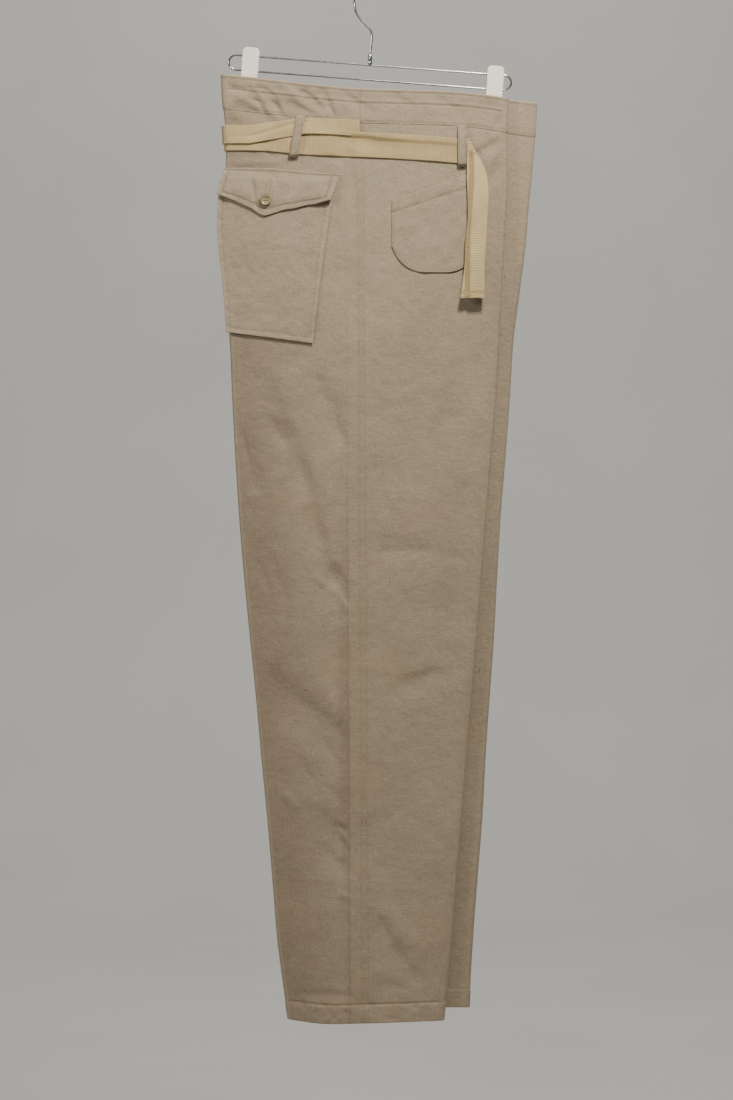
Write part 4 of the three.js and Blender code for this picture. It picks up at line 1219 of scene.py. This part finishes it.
def lathe(profile, sides):
    """A closed turned body about its own +Z."""
    body = bmesh.new()
    spin = [body.verts.new((r, 0, h)) for r, h in profile]
    edges = [body.edges.new(pair) for pair in zip(spin, spin[1:])]
    bmesh.ops.spin(body, geom=spin + edges, axis=(0, 0, 1), cent=(0, 0, 0), steps=sides,
                   angle=2 * math.pi, use_merge=True)
    bmesh.ops.remove_doubles(body, verts=body.verts, dist=1e-4)
    bmesh.ops.recalc_face_normals(body, faces=body.faces)
    return body


def button_holes():
    """The cutter for four holes about +Z."""
    cutter = bmesh.new()
    reach = BUTTON.hole_from_middle
    for dx, dy in ((-reach, -reach), (-reach, reach), (reach, -reach), (reach, reach)):
        made = bmesh.ops.create_cone(cutter, cap_ends=True, segments=BUTTON.hole_sides, radius1=BUTTON.hole,
                                     radius2=BUTTON.hole, depth=8)
        bmesh.ops.translate(cutter, verts=made["verts"], vec=(dx, dy, BUTTON.thick / 2))
    return cutter


def add_button(name, place, side, node_name):
    """A rimmed button with four holes, sewn on with two bars of three threads."""
    shaped = drilled(name, lathe(BUTTON_PROFILE, BUTTON_SIDES), button_holes())
    local = np.array([vertex.co for vertex in shaped.vertices])
    moved = place + np.stack([local[:, 0], side * local[:, 2], -side * local[:, 1]], -1)
    shaped.vertices.foreach_set("co", (moved / METRE).astype(np.float32).ravel())
    shaped.update()
    button = finish_piece(shaped, name, "button", [node_name])
    face = place + np.array([0.0, side * (BUTTON.thick - 0.5), 0.0])
    reach = BUTTON.hole_from_middle
    places = [face + (dx + spread, 0, 0) for dx in (-reach, reach) for spread in (-0.3, 0.0, 0.3)]
    starts = np.array(places) - [0, 0, reach]
    bars(name + "_thread", starts, starts + [0, 0, 2 * reach], BUTTON.thread)
    return button


FLAP_BUTTON_X = -130.6
FLAP_BUTTON_Z = -268.2
BUTTONHOLE = SimpleNamespace(x=-126.6, top=-242.0, length=17.0, width=3.0, slant=0.18, bars=64, thread=0.55,
                             reach=1.7)


def flap_place(half, x, z, lift):
    """Places at x and z on the flap's outer face, moved out by lift."""
    face = flap_grid(half)[0].reshape(-1, 3)
    x, z = np.atleast_1d(x).astype(float), np.atleast_1d(z).astype(float)
    x = x + shift_of(half, z)
    nearest = np.argmin((face[:, 0] - x[:, None]) ** 2 + (face[:, 2] - z[:, None]) ** 2, 1)
    return np.stack([x, face[nearest, 1] + half.side * (FLAP_CLOTH / 2 + lift), z], -1)


def add_flap_button(half):
    place = flap_place(half, FLAP_BUTTON_X, FLAP_BUTTON_Z, 0.6)[0]
    add_button(f"flap_button_{half.name}_disc", place, half.side, f"flap_button_{half.name}")


def add_buttonhole(half):
    """Close bars of thread round a slit, from just under the flap's top to the button."""
    hole = BUTTONHOLE
    t = np.arange(hole.bars) / hole.bars * 2 * np.pi
    long = hole.length / 2
    z = hole.top - long + np.clip(1.25 * np.sin(t), -1, 1) * long
    x = hole.x + np.cos(t) * hole.width / 2 + hole.slant * (z - hole.top + long)
    inner = flap_place(half, x, z, 0.1)
    at_ends = np.abs(np.sin(t)) > 0.8
    outer = flap_place(half, x + hole.reach * np.cos(t), z + hole.reach * np.sin(t) * at_ends, 0.0)
    bars(f"buttonhole_{half.name}", inner, outer, hole.thread)


# Hanger

WIRE = 2.4
HOOK_WIRE = 2.6
HOOK_INNER = 24.0
HANGER = SimpleNamespace(width=342.0, gap=17.8, x=-6.0, z=-113.6, tilt=math.radians(4.3))
CLIP = SimpleNamespace(width=20.0, top=18.6, bottom=-43.0, thick=3.0, jaw=4.55, corner=5.0, rim=1.1,
                       edge=0.4)
SPRING = SimpleNamespace(turns=9, radius=3.2, wire=0.62, steps=16, sides=8)
CLIP_PLACES = {"left": -144.0, "right": 150.4}
FERRULE = SimpleNamespace(radius=2.6, length=12.0, groove=0.35, sides=28)
WIRE_SIDES = 14


def in_hanger(points):
    """Turns and moves places of the tilted hanger's frame into the garment's."""
    c, s = math.cos(HANGER.tilt), math.sin(HANGER.tilt)
    x, y, z = np.moveaxis(np.asarray(points, float), -1, 0)
    return np.stack([HANGER.x + c * x + s * z, y, HANGER.z - s * x + c * z], -1)


def wire_mesh(name, rings, closed=False):
    """A mesh through rings of points, with its ends closed."""
    count, sides = rings.shape[:2]
    mesh = quad_mesh(name, rings.reshape(-1, 3), ring_quads(count, sides, closed))
    close_ends(mesh, sides)
    return mesh


def tube(name, points, radius, nodes, closed=False):
    """A round wire along a line of places that lie in the plane of the hanger."""
    points = np.asarray(points, float)
    if closed:
        way = unit(np.roll(points, -1, 0) - np.roll(points, 1, 0))
    else:
        way = unit(np.gradient(points, axis=0))
    across = np.array([[0.0, 1.0, 0.0]])
    rings = rings_about(points, np.cross(way, across), across, radius, WIRE_SIDES)
    return finish_piece(wire_mesh(name, rings, closed), name, "wire", nodes)


def add_hanger_frame():
    bend = HANGER.gap / 2
    straight = HANGER.width / 2 - bend - WIRE / 2
    angle = np.linspace(-np.pi / 2, np.pi / 2, 17)
    right = np.stack([straight + bend * np.cos(angle), 0 * angle, bend * np.sin(angle)], -1)
    line = np.linspace(straight, -straight, 24)[1:-1]
    top = np.stack([line, 0 * line, 0 * line + bend], -1)
    points = np.concatenate([right, top, right * [-1, 1, -1], top * [-1, 1, -1]])
    tube("hanger_frame_wire", in_hanger(points), WIRE / 2,
         ["hanger_wire_upper", "hanger_wire_lower", "hanger_end_left", "hanger_end_right"], closed=True)


def smooth_line(points, count):
    """A line through the points, evenly rounded."""
    points = np.asarray(points, float)
    along = arc_lengths(points, 0)
    rows = {"at": along, "x": points[:, 0], "y": points[:, 1], "z": points[:, 2]}
    at = np.linspace(0, along[-1], count)
    return np.stack([reader(rows, "at", c)(at) for c in "xyz"], -1)


def add_ferrule(bottom):
    r, length = FERRULE.radius, FERRULE.length
    profile = ((0, 0), (r - 0.5, 0), (r, 0.5), (r, 3.0), (r - FERRULE.groove, 3.6), (r, 4.2),
               (r, length - 0.6), (r - 0.6, length), (0, length))
    body = lathe(profile, FERRULE.sides)
    bmesh.ops.translate(body, verts=body.verts, vec=(HANGER.x, 0, bottom))
    bmesh.ops.scale(body, verts=body.verts, vec=(1 / METRE,) * 3)
    name = "hanger_ferrule_barrel"
    finish_piece(mesh_from(body, name), name, "wire", ["hanger_ferrule"])


def add_hook():
    """The hook's wire, from the ferrule on the upper wire round to its tip."""
    bottom = HANGER.z + HANGER.gap / 2 + WIRE / 2 + SEAM_GAP
    add_ferrule(bottom)
    stem = [(HANGER.x, 0, bottom + FERRULE.length + SEAM_GAP), (-4, 0, -75), (-4.4, 0, -65), (-9, 0, -58.5),
            (-17, 0, -50), (-23, 0, -40.5)]
    radius = HOOK_INNER + HOOK_WIRE / 2
    arc = [(radius * math.cos(a), 0, radius * math.sin(a) - HOOK_INNER)
           for a in np.radians(np.linspace(192, -4, 25))]
    tube("hanger_hook_wire", smooth_line(stem + arc, 110), HOOK_WIRE / 2, ["hanger_hook"])


def jaw_outline():
    """The jaw's flat outline, with round top corners."""
    w, c = CLIP.width / 2, CLIP.corner
    right = [(w - c + c * math.cos(a), CLIP.top - c + c * math.sin(a)) for a in np.linspace(0, np.pi / 2, 9)]
    return [(-w, CLIP.bottom), (w, CLIP.bottom)] + right + [(-x, z) for x, z in reversed(right)]


def add_jaw(clip, which, x, side):
    """A moulded jaw: a flat plate with round top corners and a soft rim."""
    body = bmesh.new()
    face = body.faces.new([body.verts.new((px, 0, pz)) for px, pz in jaw_outline()])
    made = bmesh.ops.extrude_face_region(body, geom=[face])
    moved = [v for v in made["geom"] if isinstance(v, bmesh.types.BMVert)]
    bmesh.ops.translate(body, verts=moved, vec=(0, side * CLIP.thick, 0))
    bmesh.ops.recalc_face_normals(body, faces=body.faces)
    rim = [e for e in body.edges if all(abs(v.co.y) > 1 for v in e.verts)]
    bmesh.ops.bevel(body, geom=rim, offset=CLIP.rim, segments=4, profile=0.5, affect="EDGES")
    inner = [e for e in body.edges if all(abs(v.co.y) < 1e-6 for v in e.verts)]
    bmesh.ops.bevel(body, geom=inner, offset=CLIP.edge, segments=2, profile=0.5, affect="EDGES")
    points = np.array([v.co for v in body.verts]) + [x, side * CLIP.jaw, 0]
    for vertex, co in zip(body.verts, in_hanger(points) / METRE):
        vertex.co = co
    node_name = f"clip_{clip}_{which}_jaw"
    name = node_name + "_moulding"
    return finish_piece(mesh_from(body, name), name, "clip_plastic", [node_name], False)


def add_spring(clip, x):
    """The spring between the jaws: a close upright coil of wire."""
    half_height = (HANGER.gap - WIRE - 2 * SEAM_GAP) / 2 - SPRING.wire
    t = np.linspace(0, 1, SPRING.turns * SPRING.steps + 1)
    angle = 2 * np.pi * SPRING.turns * t
    out = np.stack([np.cos(angle), np.sin(angle), 0 * angle], -1)
    upright = np.stack([x + 0 * t, 0 * t, lerp(-half_height, half_height, t)], -1)
    places = upright + SPRING.radius * out
    side = np.cross(unit(np.gradient(places, axis=0)), out)
    rings = in_hanger(rings_about(places, out, side, SPRING.wire, SPRING.sides))
    name = f"clip_{clip}_spring"
    return finish_piece(wire_mesh(name, rings), name, "wire", [name + "_block"])


def add_hanger():
    add_hanger_frame()
    add_hook()
    for clip, x in CLIP_PLACES.items():
        add_jaw(clip, "near", x, -1)
        add_jaw(clip, "far", x, 1)
        add_spring(clip, x)


# Camera, light and surroundings

VIEW_X = -0.0102
VIEW_Z = -0.6864
VIEW_HEIGHT = 1.32
CAMERA_AWAY = 4.2
FLOOR_Z = -1.62


def add_camera():
    data = bpy.data.cameras.new("camera")
    data.sensor_fit = "VERTICAL"
    data.lens = data.sensor_height * CAMERA_AWAY / VIEW_HEIGHT
    camera = linked("camera", data)
    camera.location = (VIEW_X, -CAMERA_AWAY, VIEW_Z)
    camera.rotation_euler = (math.pi / 2, 0, 0)
    bpy.context.scene.camera = camera


def add_light(name, place, target, size, power, colour):
    data = bpy.data.lights.new(name, "AREA")
    data.shape = "DISK"
    data.size = size
    data.energy = power
    data.color = colour
    light = linked(name, data)
    light.location = place
    light.rotation_euler = (Vector(target) - Vector(place)).to_track_quat("-Z", "Y").to_euler()


ROOM = SimpleNamespace(front=-5.6, back=5.6, half_width=7.0, wall=3.4, bend=1.6, bend_steps=12)


def add_backdrop():
    """A pale floor that rises in one sweep into a pale wall."""
    floor = bmesh.new()
    bend = ROOM.bend
    line = [(ROOM.front, FLOOR_Z)]
    line += [(ROOM.back - bend + bend * math.sin(a), FLOOR_Z + bend * (1 - math.cos(a)))
             for a in np.linspace(0, math.pi / 2, ROOM.bend_steps)]
    line += [(ROOM.back, FLOOR_Z + ROOM.wall)]
    rows = [[floor.verts.new((x, y, z)) for x in (-ROOM.half_width, ROOM.half_width)] for y, z in line]
    for low, up in zip(rows, rows[1:]):
        floor.faces.new((low[0], low[1], up[1], up[0])).smooth = True
    backdrop = linked("studio_floor", mesh_from(floor, "studio_floor"))
    backdrop.data.materials.append(solid_material("studio_paper", srgb(226, 224, 220), srgb(231, 229, 225),
                                                  2.0, 0.0, Roughness=0.95))


def add_world():
    world = bpy.data.worlds.new("studio")
    world.use_nodes = True
    background = world.node_tree.nodes["Background"]
    background.inputs["Color"].default_value = (0.86, 0.88, 0.92, 1)
    background.inputs["Strength"].default_value = 0.15
    bpy.context.scene.world = world


def add_surroundings():
    add_backdrop()
    add_world()
    add_light("key", (0.36, -1.0, 0.92), (0.0, 0.0, -0.25), 0.32, 46, (1.0, 0.95, 0.86))
    add_light("backdrop", (0.0, 2.6, 2.4), (0.0, 5.2, -1.2), 2.4, 66, (1.0, 0.98, 0.95))
    add_light("side", (-1.5, -1.1, 0.25), (0.0, 0.0, -0.5), 0.35, 13, (1.0, 0.96, 0.9))


add_camera()
add_surroundings()


for half in HALVES:
    for edge in ("back", "front"):
        panel = add_panel(half, edge)
        add_waistband(half, edge)
    add_back_pocket(half)
    add_flap(half)
    add_front_pocket(half)
    for loop in LOOPS:
        add_loop(half, loop)
    add_flap_button(half)
    add_buttonhole(half)
    add_stitching(half)
belt, tape = add_belts()
for half in HALVES:
    add_free_end(half)
add_fly()
add_button("waist_button_disc", WAIST_BUTTON, RIGHT.side, "waist_button")
add_hanger()
